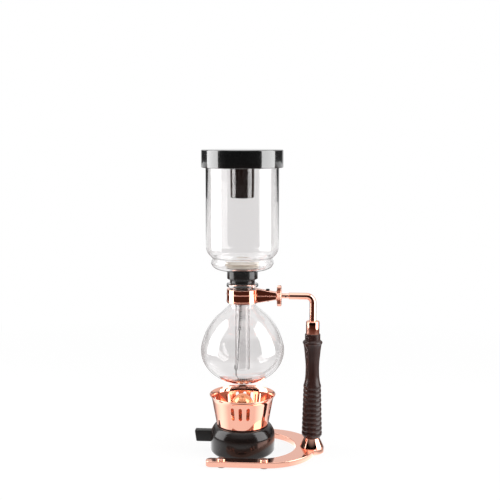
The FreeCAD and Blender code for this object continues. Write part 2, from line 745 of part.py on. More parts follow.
def filter_cloth():
    """Cloth drawn over the disc and gathered under it."""
    low = disc_low()
    top = low + DISC_T + FIT
    inner = CLOTH_R - CLOTH_T
    edges = straight([(0, top), (inner, top), (inner, low - FIT), (CLOTH_MOUTH_R, low - FIT),
                      (CLOTH_MOUTH_R, CHAMBER_FLOOR), (CLOTH_R - CLOTH_T, CHAMBER_FLOOR)])
    bulge = CLOTH_R - CLOTH_T * (1 - DIAGONAL)
    low_bend = CHAMBER_FLOOR + CLOTH_T * (1 - DIAGONAL)
    high = top + CLOTH_T
    edges.append(arc((inner, CHAMBER_FLOOR), (bulge, low_bend), (CLOTH_R, CHAMBER_FLOOR + CLOTH_T)))
    edges.append(line((CLOTH_R, CHAMBER_FLOOR + CLOTH_T), (CLOTH_R, top)))
    edges.append(arc((CLOTH_R, top), (bulge, high - CLOTH_T * (1 - DIAGONAL)), (inner, high)))
    edges += straight([(inner, high), (0, high), (0, top)])
    return spun(edges)


def eye(radius, wire, centre):
    """Closed wire loop standing in the XZ plane."""
    return Part.makeTorus(radius, wire / 2, centre, Y_AXIS)


def bolt_low():
    return CHAMBER_FLOOR - BOLT_REACH


def filter_bolt():
    """Bolt through the disc, with an eye for the spring."""
    shank = cylinder(BOLT_D / 2, bolt_low(), disc_low() + DISC_T)
    loop = eye(LOOP_D / 2, WIRE_D, Vector(0, 0, bolt_low() - LOOP_D / 2))
    return shank.fuse(loop).removeSplitter()


def hook_mid():
    """Centre of the hook's bend, under the stem's wall at -X."""
    return Vector(-(STEM_R - STEM_T / 2), 0, STEM_END + HOOK_PLAY)


def hook_bend():
    return STEM_T / 2 + HOOK_PLAY + HOOK_D / 2


def pull_top():
    """Lowest point of the bolt's eye, which the spring pulls on."""
    return Vector(0, 0, bolt_low() - LOOP_D)


def lean():
    """Angle of the spring and hook from upright: they run from the bolt to the stem's edge."""
    return math.atan2(-(hook_mid().x + hook_bend()), pull_top().z - hook_mid().z)


def leaning(solid):
    """Move a solid drawn down from the origin so that it hangs from the bolt's eye along the lean."""
    solid.rotate(CENTRE, Y_AXIS, math.degrees(lean()))
    solid.translate(pull_top())
    return solid


def biarc(start, start_way, end, end_way):
    """Two arcs, tangent to each other, between two points with given directions."""
    gap = end.sub(start)
    ways = start_way.add(end_way)
    a = 2 * (1 - start_way.dot(end_way))
    b = 2 * gap.dot(ways)
    reach = (math.sqrt(b * b + 4 * a * gap.dot(gap)) - b) / (2 * a)
    first = start.add(start_way * reach)
    last = end.sub(end_way * reach)
    middle = (first + last) * 0.5
    arcs = []
    for a_end, corner, b_end in ((start, first, middle), (middle, last, end)):
        chord_mid = (a_end + b_end) * 0.5
        half = a_end.sub(chord_mid).Length
        lift = corner.sub(chord_mid)
        rise = half * math.tan(math.atan2(lift.Length, half) / 2)
        arcs.append(Part.Arc(a_end, chord_mid.add(lift * (rise / lift.Length)), b_end).toShape())
    return arcs


def filter_spring():
    """One helical wire that pulls the filter down, with straight ends."""
    radius = (SPRING_D - WIRE_D) / 2
    pitch = SPRING_L / SPRING_TURNS
    slope = pitch / (2 * math.pi)

    def place(turns):
        angle = 2 * math.pi * turns
        return Vector(radius * math.cos(angle), radius * math.sin(angle), -WIRE_D - pitch * turns)

    def way(turns):
        angle = 2 * math.pi * turns
        return Vector(-radius * math.sin(angle), radius * math.cos(angle), -slope).normalize()

    edges = []
    halves = 2 * SPRING_TURNS
    for i in range(halves):
        edges += biarc(place(i / 2), way(i / 2), place((i + 1) / 2), way((i + 1) / 2))
    top = place(0).sub(way(0) * WIRE_D)
    end = place(SPRING_TURNS).add(way(SPRING_TURNS) * WIRE_D)
    edges.insert(0, Part.LineSegment(top, place(0)).toShape())
    edges.append(Part.LineSegment(place(SPRING_TURNS), end).toShape())
    steps = SPRING_SAMPLES
    near = min(place(0).sub(place(1 + i / steps)).Length for i in range(-steps // 2, steps))
    print("spring: least gap between turns", round(near - WIRE_D, 3), "mm")
    return leaning(pipe(edges, top, way(0), WIRE_D / 2))


def hook_top():
    """Distance down the lean from the bolt's eye to the hook's own eye."""
    return SPRING_L + 2 * WIRE_D


def hook_length():
    return (pull_top().z - hook_mid().z) / math.cos(lean())


def filter_hook():
    """Wire from the spring that hooks round the stem's lower edge."""
    bend = hook_bend()
    low = -hook_length()
    eye_low = -hook_top() - LOOP_D
    path = [line((0, eye_low), (0, low)),
            arc((0, low), (-bend, low - bend), (-2 * bend, low)),
            line((-2 * bend, low), (-2 * bend, low + HOOK_LEG))]
    wire = pipe(path, at((0, eye_low)), Vector(0, 0, -1), HOOK_D / 2)
    loop = eye(LOOP_D / 2, HOOK_D, Vector(0, 0, eye_low + LOOP_D / 2))
    return leaning(wire.fuse(loop).removeSplitter())


def floor_under(x):
    """Height of the bulb's inner bottom at a distance from its axis."""
    return BULB_MID - (BULB_DEPTH - GLASS_T) * math.sqrt(1 - (x / (BULB_R - GLASS_T)) ** 2)


def bead_chain():
    """Bead chain that hangs from the hook and lies on the bulb's bottom."""
    hook_low = hook_mid().z - hook_bend()
    ring_r = HOOK_D / 2 + LINK_D / 2 + FIT
    x = hook_mid().x
    chain = Part.makeTorus(ring_r, LINK_D / 2, Vector(x, 0, hook_low), X_AXIS)
    first = hook_low - ring_r - CHAIN_BEAD_D / 2
    places = [Vector(x, 0, first - i * CHAIN_PITCH) for i in range(CHAIN_HANGING)]
    for i in range(CHAIN_LYING):
        x += CHAIN_PITCH
        places.append(Vector(x, 0, floor_under(x) + CHAIN_BEAD_D / 2 + SEAT))
    last = Vector(hook_mid().x, 0, hook_low - ring_r)
    for place in places:
        link = place.sub(last)
        chain = chain.fuse(across(LINK_D / 2, last, link.Length, link))
        chain = chain.fuse(Part.makeSphere(CHAIN_BEAD_D / 2, place))
        last = place
    return chain.removeSplitter()


def lid():
    """Cap with a skirt, a locating ring and a hanging tube that holds the stem when the lid is a stand."""
    top = LID_UNDER + LID_T
    skirt_low = LID_UNDER - LID_SKIRT
    skirt_in = LID_R - LID_WALL
    ring_out = CHAMBER_R - CHAMBER_T - LID_PLAY
    ring_in = ring_out - LID_RING_T
    tube_low = LID_UNDER - TUBE_L
    bend = LID_EDGE * (1 - DIAGONAL)
    edges = straight([
        (0, LID_UNDER), (TUBE_R - TUBE_T, LID_UNDER), (TUBE_TIP_R - TUBE_T, tube_low),
        (TUBE_TIP_R, tube_low), (TUBE_R, LID_UNDER), (ring_in, LID_UNDER),
        (ring_in, LID_UNDER - LID_RING_H), (ring_out, LID_UNDER - LID_RING_H), (ring_out, LID_UNDER),
        (skirt_in, LID_UNDER), (skirt_in, skirt_low), (LID_R, skirt_low), (LID_R, top - LID_EDGE),
    ])
    edges.append(arc((LID_R, top - LID_EDGE), (LID_R - bend, top - bend), (LID_R - LID_EDGE, top)))
    edges += straight([(LID_R - LID_EDGE, top), (0, top), (0, LID_UNDER)])
    return spun(edges)


def casing_side(inward):
    """Upper half of the casing's outline, from the wall over the shoulder to the top, moved inwards."""
    wall = (CASING_R - inward, CASING_WALL_H)
    top = (CASING_TOP_R - inward, CASING_H - inward)
    across_share, up_share = CASING_BULGE
    middle = between(wall, top, (1 - across_share, up_share))
    return wall, middle, top


def casing_outside():
    """Edges of the casing's outside, from its top over the shoulder and the wall to its foot."""
    wall, middle, top = casing_side(0)
    corner = (CASING_R, CASING_FOOT_R)
    bend = CASING_FOOT_R * DIAGONAL
    foot_r = CASING_R - CASING_FOOT_R
    return [
        arc(top, middle, wall),
        line(wall, corner),
        arc(corner, (foot_r + bend, CASING_FOOT_R - bend), (foot_r, 0)),
    ]


def casing_core():
    """The casing's outside as a full body, which its tab is fitted to."""
    ends = [(CASING_R - CASING_FOOT_R, 0), (0, 0), (0, CASING_H), (CASING_TOP_R, CASING_H)]
    return spun(casing_outside() + straight(ends))


def burner_casing():
    """Black shell of the spirit burner, open below and holed above for the tank's neck."""
    wall_in, middle_in, top_in = casing_side(CASING_T)
    hole = TANK_NECK_R + CASING_GAP
    ring_r = SHIELD_HOLE_R - SEAT
    ring_top = CASING_H + SEAT_RING_H
    foot_r = CASING_R - CASING_FOOT_R
    bend_in = (CASING_FOOT_R - CASING_T) * DIAGONAL
    edges = straight([(hole, top_in[1]), (hole, ring_top), (ring_r, ring_top), (ring_r, CASING_H),
                      (CASING_TOP_R, CASING_H)])
    edges += casing_outside()
    edges.append(line((foot_r, 0), (foot_r, CASING_T)))
    edges.append(arc((foot_r, CASING_T), (foot_r + bend_in, CASING_FOOT_R - bend_in),
                     (CASING_R - CASING_T, CASING_FOOT_R)))
    edges.append(line((CASING_R - CASING_T, CASING_FOOT_R), wall_in))
    edges.append(arc(wall_in, middle_in, top_in))
    edges.append(line(top_in, (hole, top_in[1])))
    shell = spun(edges)
    return shell.cut(across(TAB_SCREW_D / 2 + FIT, Vector(-CASING_R, 0, tab_mid()), CASING_R / 2, X_AXIS))


def tab_mid():
    return TAB_Z + TAB_H / 2


def burner_floor():
    return cylinder(CASING_R - CASING_FOOT_R - FIT, 0, FLOOR_T)


def reservoir():
    """Fuel tank with a neck that stands through the casing's top."""
    low = FLOOR_T + FLAT
    return ring([
        (0, low), (TANK_R, low), (TANK_R, TANK_WALL_H), (TANK_NECK_R, TANK_SHOULDER),
        (TANK_NECK_R, TANK_NECK_H), (TANK_NECK_R - TANK_T, TANK_NECK_H),
        (TANK_NECK_R - TANK_T, TANK_SHOULDER - TANK_T), (TANK_R - TANK_T, TANK_WALL_H - TANK_T),
        (TANK_R - TANK_T, low + TANK_T), (0, low + TANK_T),
    ])


def wick_holder():
    """Disc on the tank's mouth with a tube round the wick."""
    bore = WICK_R + FIT
    plug = TANK_NECK_R - TANK_T - FIT
    tube = bore + TUBE_WALL
    tube_top = wick_top() - WICK_SHOWS
    return ring([
        (bore, HOLDER_LOW - HOLDER_PLUG), (plug, HOLDER_LOW - HOLDER_PLUG), (plug, HOLDER_LOW),
        (TANK_NECK_R, HOLDER_LOW), (TANK_NECK_R, HOLDER_TOP), (tube, HOLDER_TOP),
        (tube, tube_top), (bore, tube_top),
    ])


def wick_top():
    return TANK_NECK_H + WICK_HIGH


def wick():
    cord = cylinder(WICK_R, WICK_LOW, wick_top())
    return cord.makeFillet(WICK_EDGE, edges_at(cord, wick_top()))


def snuffer_cap():
    """Domed cap that covers the wick."""
    low = SNUFFER_LOW
    wall_top = low + SNUFFER_WALL_H
    inner = SNUFFER_R - SNUFFER_T
    half = DIAGONAL
    edges = straight([(inner, low), (SNUFFER_R, low), (SNUFFER_R, wall_top)])
    edges.append(arc((SNUFFER_R, wall_top), (SNUFFER_R * half, wall_top + SNUFFER_R * half),
                     (0, wall_top + SNUFFER_R)))
    edges.append(line((0, wall_top + SNUFFER_R), (0, wall_top + inner)))
    edges.append(arc((0, wall_top + inner), (inner * half, wall_top + inner * half), (inner, wall_top)))
    edges.append(line((inner, wall_top), (inner, low)))
    return spun(edges)


def burner_handle():
    """Upright tab on the casing's side, shorter along its lower edge."""
    root = -CASING_TOP_R
    tip = -(CASING_R + TAB_L)
    side = Part.makePolygon([at((root, TAB_Z)), at((root, TAB_Z + TAB_H)), at((tip, TAB_Z + TAB_H)),
                             at((tip + TAB_SLANT, TAB_Z)), at((root, TAB_Z))])
    tab = Part.Face(side).extrude(Vector(0, TAB_W, 0))
    tab.translate(Vector(0, -TAB_W / 2, 0))
    outer = [e for e in tab.Edges if e.BoundBox.XMin < root - FLAT]
    tab = tab.makeFillet(TAB_EDGE, outer)
    tab = tab.cut(casing_core())
    tip = Vector(-CASING_R - TAB_SCREW_L, 0, tab_mid())
    hole = across(TAB_SCREW_D / 2 + FIT, tip, TAB_SCREW_L + CASING_T, X_AXIS)
    return tab.cut(hole)


def handle_screw():
    """Screw from inside the casing into the tab."""
    seat = math.sqrt((CASING_R - CASING_T) ** 2 - (TAB_HEAD_D / 2) ** 2) - FLAT
    tip = Vector(-CASING_R - TAB_SCREW_L + FIT, 0, tab_mid())
    shank = across(TAB_SCREW_D / 2, tip, -seat - tip.x, X_AXIS)
    head = across(TAB_HEAD_D / 2, Vector(-seat, 0, tab_mid()), TAB_HEAD_H, X_AXIS)
    return shank.fuse(head).removeSplitter()


def shield_side(inward):
    """Points up the windshield's side, from above its floor corner to the flared rim, moved inwards."""
    z = SHIELD_LOW
    wall = (SHIELD_HIGH_R - inward, z + SHIELD_WALL_H)
    rim = (SHIELD_RIM_R - inward, z + SHIELD_H)
    return [wall, between(wall, rim, RIM_BEND), rim]


def windshield():
    """Slotted cup round the flame, with a flared rim and a holed floor."""
    z = SHIELD_LOW
    hole = SHIELD_HOLE_R
    rise = (SHIELD_HIGH_R - SHIELD_LOW_R) / SHIELD_WALL_H
    corner = (SHIELD_LOW_R + rise * SHIELD_CORNER, z + SHIELD_CORNER)
    corner_in = (corner[0] - SHIELD_T, corner[1])
    bend_in, bend_up = SHIELD_CORNER_BEND
    round_out = (SHIELD_LOW_R - bend_in * SHIELD_CORNER, z + bend_up * SHIELD_CORNER)
    outer = shield_side(0)
    inner = shield_side(SHIELD_T)
    edges = straight([(hole, z + SHIELD_T), (hole, z), (SHIELD_LOW_R - SHIELD_CORNER, z)])
    edges.append(arc((SHIELD_LOW_R - SHIELD_CORNER, z), round_out, corner))
    edges.append(line(corner, outer[0]))
    edges.append(arc(*outer))
    edges.append(line(outer[2], inner[2]))
    edges.append(arc(*inner[::-1]))
    edges.append(line(inner[0], corner_in))
    edges.append(line(corner_in, (SHIELD_LOW_R - SHIELD_CORNER, z + SHIELD_T)))
    edges.append(line((SHIELD_LOW_R - SHIELD_CORNER, z + SHIELD_T), (hole, z + SHIELD_T)))
    cup = spun(edges)
    slots = []
    for group in range(SLOT_GROUPS):
        for i in range(SLOTS_IN_GROUP):
            turn = 360 / SLOT_GROUPS * group + SLOT_PITCH * (i - (SLOTS_IN_GROUP - 1) / 2)
            slots.append(slot(turn))
    return cup.cut(Part.makeCompound(slots))


def slot(turn):
    """Upright round-ended cutter across the shield's wall at an angle about the axis."""
    low = SHIELD_LOW + SLOT_Z + SLOT_W / 2
    high = SHIELD_LOW + SLOT_Z + SLOT_H - SLOT_W / 2
    start = SHIELD_LOW_R / 2
    length = SHIELD_RIM_R - start
    cutter = box(Vector(start, -SLOT_W / 2, low), Vector(start + length, SLOT_W / 2, high))
    for z in (low, high):
        cutter = cutter.fuse(across(SLOT_W / 2, at((start, z)), length, X_AXIS))
    cutter = cutter.removeSplitter()
    cutter.rotate(CENTRE, Z_AXIS, turn)
    return cutter


PIECES = [
    base_fork, rubber_feet, foot_screws, base_washer, base_nut, tie_rod, foot_cone, wood_handle, ferrule,
    support_rod, neck_band, clamp_stud, clamp_pin, stop_pin, clamp_collar, thumb_nut, bulb_neck, bulb_shoulder,
    bulb_bowl, stopper, chamber_wall, chamber_well, chamber_stem, filter_disc, filter_cloth, filter_bolt,
    filter_spring, filter_hook, bead_chain, lid, burner_casing, burner_floor, reservoir, wick_holder, wick,
    snuffer_cap, burner_handle, handle_screw, windshield,
]

os.makedirs("parts", exist_ok=True)
for piece in PIECES:
    export(piece.__name__, piece())
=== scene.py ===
"""Looks of a tabletop siphon coffee maker, laid out as an add-on that builds each finished piece."""
import json
import math
from functools import cache

import bmesh
import bpy
from bpy.props import FloatProperty, FloatVectorProperty, IntProperty, PointerProperty
from mathutils import Matrix, Vector

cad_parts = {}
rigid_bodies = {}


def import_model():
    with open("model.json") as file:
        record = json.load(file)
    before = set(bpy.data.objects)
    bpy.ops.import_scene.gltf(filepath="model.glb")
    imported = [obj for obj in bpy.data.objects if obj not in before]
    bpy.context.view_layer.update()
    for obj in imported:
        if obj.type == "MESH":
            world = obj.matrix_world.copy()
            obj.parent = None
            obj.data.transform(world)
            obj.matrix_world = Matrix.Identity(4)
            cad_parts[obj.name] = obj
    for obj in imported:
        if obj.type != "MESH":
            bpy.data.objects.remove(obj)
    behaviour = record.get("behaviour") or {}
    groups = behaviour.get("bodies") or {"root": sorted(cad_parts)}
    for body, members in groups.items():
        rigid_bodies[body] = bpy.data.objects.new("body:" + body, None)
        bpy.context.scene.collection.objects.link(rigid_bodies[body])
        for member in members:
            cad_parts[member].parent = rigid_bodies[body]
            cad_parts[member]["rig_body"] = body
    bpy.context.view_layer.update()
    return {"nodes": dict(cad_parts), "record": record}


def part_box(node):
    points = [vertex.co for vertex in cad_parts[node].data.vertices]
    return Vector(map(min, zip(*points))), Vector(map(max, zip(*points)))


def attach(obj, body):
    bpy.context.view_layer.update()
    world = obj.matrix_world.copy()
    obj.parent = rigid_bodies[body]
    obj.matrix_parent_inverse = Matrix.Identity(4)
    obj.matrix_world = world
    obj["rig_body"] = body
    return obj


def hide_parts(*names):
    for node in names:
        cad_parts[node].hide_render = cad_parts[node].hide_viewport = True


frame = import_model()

bl_info = {
    "name": "Siphon coffee maker",
    "version": (1, 0, 0),
    "blender": (4, 5, 0),
    "location": "View3D > Sidebar > Siphon",
    "description": "Builds the finished pieces of a tabletop siphon coffee maker",
    "category": "Object",
}

MM = 0.001
TINY = 1e-7                 # radius under which a ring is one point
SEGMENTS = 144              # steps round a turned piece
SMALL_SEGMENTS = 48         # steps round a small turned piece
WIRE_SEGMENTS = 10          # steps round a wire
SHARP = math.radians(38)    # turn from face to face that shows as a hard edge
PLAY = 0.1 * MM             # gap round a piece that another one holds
WHITE = (1.0, 1.0, 1.0, 1.0)
GREY = (0.5, 0.5, 0.5, 1.0)
RECORD_SLOTS = {part["node"]: part["material_slot"] for part in frame["record"]["subparts"]}


def middle(node):
    low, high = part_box(node)
    return (low + high) / 2


BULB_X = middle("chamber_wall").x    # upright axis of bulb, chamber, lid and burner
POST_X = middle("tie_rod").x         # upright axis of the post
CLAMP_Z = middle("clamp_stud").z     # level axis of the clamp and the rod's upper run


# Properties

def length(name, description, default):
    return FloatProperty(name=name, description=description, default=default, unit="LENGTH",
                         subtype="DISTANCE", precision=5)


def angle(name, description, degrees):
    return FloatProperty(name=name, description=description, default=math.radians(degrees),
                         unit="ROTATION", subtype="ANGLE")


def number(name, description, default):
    return FloatProperty(name=name, description=description, default=default)


def share(name, description, default):
    return FloatProperty(name=name, description=description, default=default, subtype="FACTOR")


def count(name, description, default):
    return IntProperty(name=name, description=description, default=default, min=1)


def colour(name, description, default):
    return FloatVectorProperty(name=name, description=description, default=default, subtype="COLOR",
                               size=3, min=0.0, max=1.0)


class SiphonGlass(bpy.types.PropertyGroup):
    """Sizes of the glass bulb and the glass chamber."""
    bulb_radius: length("Bulb radius", "Outside radius of the bulb's widest section", 59.3 * MM)
    bulb_drop: length("Bulb drop", "Clamp axis down to the widest section", 79.0 * MM)
    bulb_depth: length("Bulb depth", "Widest section down to the bottom", 48.0 * MM)
    bulb_rise: length("Bulb rise", "Widest section up to the top of the full curve", 69.0 * MM)
    bulb_power: number("Bulb power", "Roundness of the upper half", 1.7)
    bulb_wall: length("Bulb wall", "Thickness of the bulb's glass", 1.9 * MM)
    neck_radius: length("Neck radius", "Outside radius of the bulb's neck", 18.3 * MM)
    neck_low: length("Neck low", "Clamp axis down to the end of the straight neck", 11.4 * MM)
    lip_radius: length("Lip radius", "Outside radius of the bulb's lip", 22.5 * MM)
    lip_low: length("Lip low", "Clamp axis up to the underside of the lip", 10.8 * MM)
    lip_rise: length("Lip rise", "Slope on the underside of the lip", 2.8 * MM)
    lip_flare: length("Lip flare", "Widening of the bore at the lip", 2.2 * MM)
    lip_edge: length("Lip edge", "Rounding of the lip", 2.0 * MM)
    chamber_radius: length("Chamber radius", "Outside radius of the chamber", 51.5 * MM)
    chamber_wall: length("Chamber wall", "Thickness of the chamber's glass", 2.2 * MM)
    shoulder_height: length("Shoulder height", "Chamber bottom to the straight wall", 34.0 * MM)
    groove_radius: length("Groove radius", "Radius of the groove over the filter well", 42.2 * MM)
    groove_height: length("Groove height", "Chamber bottom to the groove", 16.6 * MM)
    well_radius: length("Well radius", "Radius of the filter well", 44.2 * MM)
    well_height: length("Well height", "Chamber bottom to the well's widest section", 9.4 * MM)
    flat_radius: length("Flat radius", "Radius of the chamber's flat bottom", 25.0 * MM)
    stem_radius: length("Stem radius", "Outside radius of the stem", 10.25 * MM)
    stem_wall: length("Stem wall", "Thickness of the stem's glass", 1.75 * MM)
    chamber_low: length("Chamber low", "Clamp axis up to the chamber's bottom", 37.0 * MM)


class SiphonLid(bpy.types.PropertyGroup):
    """Sizes of the lid and the rubber stopper."""
    radius: length("Lid radius", "Outside radius of the lid", 57.5 * MM)
    wall: length("Lid wall", "Thickness of the lid's skirt and top", 3.0 * MM)
    edge: length("Lid edge", "Rounding of the lid's upper edge", 1.6 * MM)
    tube_radius: length("Tube radius", "Outside radius of the tube at the lid", 17.6 * MM)
    tube_tip: length("Tube tip", "Outside radius of the tube's free end", 16.9 * MM)
    tube_wall: length("Tube wall", "Thickness of the tube", 2.2 * MM)
    skirt: length("Skirt", "Skirt below the chamber's rim", 22.0 * MM)
    ring_radius: length("Ring radius", "Outside radius of the locating ring", 48.6 * MM)
    ring_height: length("Ring height", "Height of the locating ring", 5.0 * MM)
    ring_wall: length("Ring wall", "Thickness of the locating ring", 2.0 * MM)
    stopper_radius: length("Stopper radius", "Radius of the stopper's cap", 21.75 * MM)
    stopper_cap: length("Stopper cap", "Height of the stopper's cap", 12.6 * MM)
    stopper_step: length("Stopper step", "Radius under the stopper's cap", 17.7 * MM)
    plug_radius: length("Plug radius", "Radius of the plug in the bulb's neck", 16.1 * MM)
    plug_tip: length("Plug tip", "Radius of the plug's lower end", 12.6 * MM)
    soft_edge: length("Soft edge", "Rounding of the rubber's edges", 1.3 * MM)


class SiphonFilter(bpy.types.PropertyGroup):
    """Sizes of the cloth filter, its spring, hook and bead chain."""
    cloth_radius: length("Cloth radius", "Radius of the cloth over its disc", 24.1 * MM)
    mouth_radius: length("Mouth radius", "Radius of the cloth's gathered mouth", 9.2 * MM)
    cloth_thickness: length("Cloth thickness", "Thickness of the cloth", 0.9 * MM)
    pleats: count("Pleats", "Small folds round the cloth", 40)
    pleat_depth: length("Pleat depth", "Depth of the small folds", 0.22 * MM)
    wire: length("Spring wire", "Diameter of the spring's wire", 0.8 * MM)
    coil: length("Spring coil", "Outside diameter of the spring", 4.7 * MM)
    turns: count("Spring turns", "Turns of the spring", 30)
    spring_length: length("Spring length", "Length of the wound spring", 72.0 * MM)
    hook_wire: length("Hook wire", "Diameter of the hook's wire", 1.2 * MM)
    hook_play: length("Hook play", "Hook wire to the stem's wall", 0.5 * MM)
    hook_leg: length("Hook leg", "Length of the hook's outer leg", 4.0 * MM)
    loop: length("Loop", "Diameter of the wire loops", 3.6 * MM)
    bead: length("Bead", "Diameter of a bead of the chain", 2.4 * MM)
    bead_pitch: length("Bead pitch", "Distance from bead to bead", 3.1 * MM)
    hanging: count("Hanging beads", "Beads that hang from the hook", 3)
    lying: count("Lying beads", "Beads that lie on the bulb's bottom", 7)
    link: length("Link", "Diameter of the links between beads", 0.6 * MM)
    bolt_reach: length("Bolt reach", "Bolt below the chamber's floor", 8.0 * MM)


class SiphonPost(bpy.types.PropertyGroup):
    """Sizes of the base, the post and the bent rod."""
    plate_edge: length("Plate edge", "Rounding of the plate's edges", 0.9 * MM)
    arm_in: length("Arm inside", "Centre line to an arm's inner side", 56.5 * MM)
    arm_width: length("Arm width", "Width of an arm", 16.5 * MM)
    arm_tip: length("Arm tip", "Bulb axis to the arms' tips", 46.0 * MM)
    tip_round: length("Tip rounding", "Rounding of the arms' tips", 7.0 * MM)
    opening_end: length("Opening end", "Bulb axis to the closed end of the opening", 77.0 * MM)
    boss_radius: length("Boss radius", "Round end of the plate under the post", 17.4 * MM)
    boss_proud: length("Boss proud", "Boss beyond the plate's round outer end", 11.9 * MM)
    boss_blend: length("Boss blend", "Hollow rounding between the boss and the plate", 6.0 * MM)
    cone_top: length("Cone top", "Radius of the foot cone's top", 10.5 * MM)
    cone_low: length("Cone low", "Radius of the foot cone's bottom", 16.9 * MM)
    grip_low: length("Grip low", "Radius of the grip's lower end", 13.9 * MM)
    grip_high: length("Grip high", "Radius of the grip's upper end", 11.7 * MM)
    grip_foot: length("Grip foot", "Radius of the handle's foot", 11.8 * MM)
    grip_chamfer: length("Grip chamfer", "Height of the foot's chamfer", 3.0 * MM)
    ridges: count("Ridges", "Turned ridges round the grip", 11)
    ridge_pitch: length("Ridge pitch", "Distance from ridge to ridge", 6.9 * MM)
    ridge_height: length("Ridge height", "Height of a ridge", 0.8 * MM)
    waist: length("Waist", "Radius of the handle's waist", 9.65 * MM)
    waist_height: length("Waist height", "Handle's foot to its waist", 101.0 * MM)
    flare: length("Flare", "Radius of the swell over the waist", 11.1 * MM)
    flare_height: length("Flare height", "Handle's foot to the swell", 122.5 * MM)
    bead: length("Bead", "Radius of the handle's bead", 14.0 * MM)
    bead_under: length("Bead underside", "Radius under the bead", 12.9 * MM)
    bead_low: length("Bead low", "Handle's foot to the bead", 136.5 * MM)
    bead_height: length("Bead height", "Height of the bead", 6.2 * MM)
    cap: length("Cap", "Radius of the handle's cap", 10.9 * MM)
    ferrule: length("Ferrule", "Radius of the ferrule", 9.5 * MM)
    ferrule_edge: length("Ferrule edge", "Rounding of the ferrule's top", 1.6 * MM)
    rod: length("Rod", "Diameter of the bent rod", 9.4 * MM)
    bend: length("Bend", "Radius of the rod's bend", 9.5 * MM)


class SiphonClamp(bpy.types.PropertyGroup):
    """Sizes of the neck band and the thumb nut."""
    bore: length("Bore", "Inside radius of the band", 18.6 * MM)
    band: length("Band", "Outside radius of the band", 22.2 * MM)
    height: length("Band height", "Height of the band", 19.6 * MM)
    rib: length("Rib", "Radius of the half-round ribs", 0.75 * MM)
    rib_high: share("Upper rib", "Upper rib's place, from the band's top", 0.35)
    rib_low: share("Lower rib", "Lower rib's place, from the band's top", 0.87)
    tail_width: length("Tail width", "Width over both tails", 10.4 * MM)
    tail_wall: length("Tail wall", "Thickness of the tails", 1.4 * MM)
    tail_root: length("Tail root", "Height of the tails at the band", 21.0 * MM)
    tail_end: length("Tail end", "Height of the tails' ends", 10.6 * MM)
    tail_reach: length("Tail reach", "Bulb axis to the tails' ends", 48.0 * MM)
    slit: length("Slit", "Gap between the tails", 1.2 * MM)
    fold: length("Fold", "Rounding of the tails' folded edges", 1.2 * MM)
    teeth: count("Teeth", "Teeth round the thumb nut", 44)
    tooth: length("Tooth", "Depth of a tooth", 0.7 * MM)
    nut_chamfer: length("Nut chamfer", "Chamfer of the thumb nut's edges", 0.7 * MM)


class SiphonBurner(bpy.types.PropertyGroup):
    """Sizes of the spirit burner, the windshield and the snuffer."""
    casing: length("Casing", "Radius of the casing", 46.5 * MM)
    casing_wall: length("Casing wall", "Thickness of the casing", 2.0 * MM)
    shoulder: length("Shoulder", "Height of the casing's upright wall", 26.0 * MM)
    top: length("Top radius", "Radius of the casing's flat top", 38.0 * MM)
    foot_round: length("Foot rounding", "Rounding of the casing's lower edge", 6.0 * MM)
    hole: length("Hole", "Radius of the casing's hole for the tank", 20.0 * MM)
    ring: length("Ring", "Radius of the raised ring that locates the windshield", 22.7 * MM)
    ring_height: length("Ring height", "Height of the raised ring", 1.5 * MM)
    tab_edge: length("Tab edge", "Rounding of the tab's edges", 1.5 * MM)
    tab_slant: length("Tab slant", "How much shorter the tab's lower edge is", 2.4 * MM)
    wick: length("Wick", "Radius of the wick", 4.4 * MM)
    sheet: length("Sheet", "Thickness of the windshield", 1.0 * MM)
    shield_low: length("Shield low", "Windshield's radius at its floor", 37.0 * MM)
    shield_high: length("Shield high", "Windshield's radius under its rim", 43.6 * MM)
    shield_rim: length("Shield rim", "Windshield's radius at its rim", 47.5 * MM)
    shield_wall: length("Shield wall", "Windshield's floor to the flare", 37.0 * MM)
    shield_height: length("Shield height", "Windshield's whole height", 44.5 * MM)
    shield_corner: length("Shield corner", "Rounding over the windshield's floor", 2.0 * MM)
    shield_hole: length("Shield hole", "Radius of the hole in the windshield's floor", 23.0 * MM)
    slot_width: length("Slot width", "Width of a slot", 4.7 * MM)
    slot_height: length("Slot height", "Height of a slot", 18.8 * MM)
    slot_low: length("Slot low", "Windshield's floor to the slots", 16.6 * MM)
    slot_step: angle("Slot step", "Angle from slot to slot in a group", 15)
    slots: count("Slots", "Slots in a group", 3)
    groups: count("Groups", "Groups of slots round the windshield", 4)
    snuffer: length("Snuffer", "Radius of the snuffer cap", 15.2 * MM)
    snuffer_wall: length("Snuffer wall", "Thickness of the snuffer cap", 1.2 * MM)


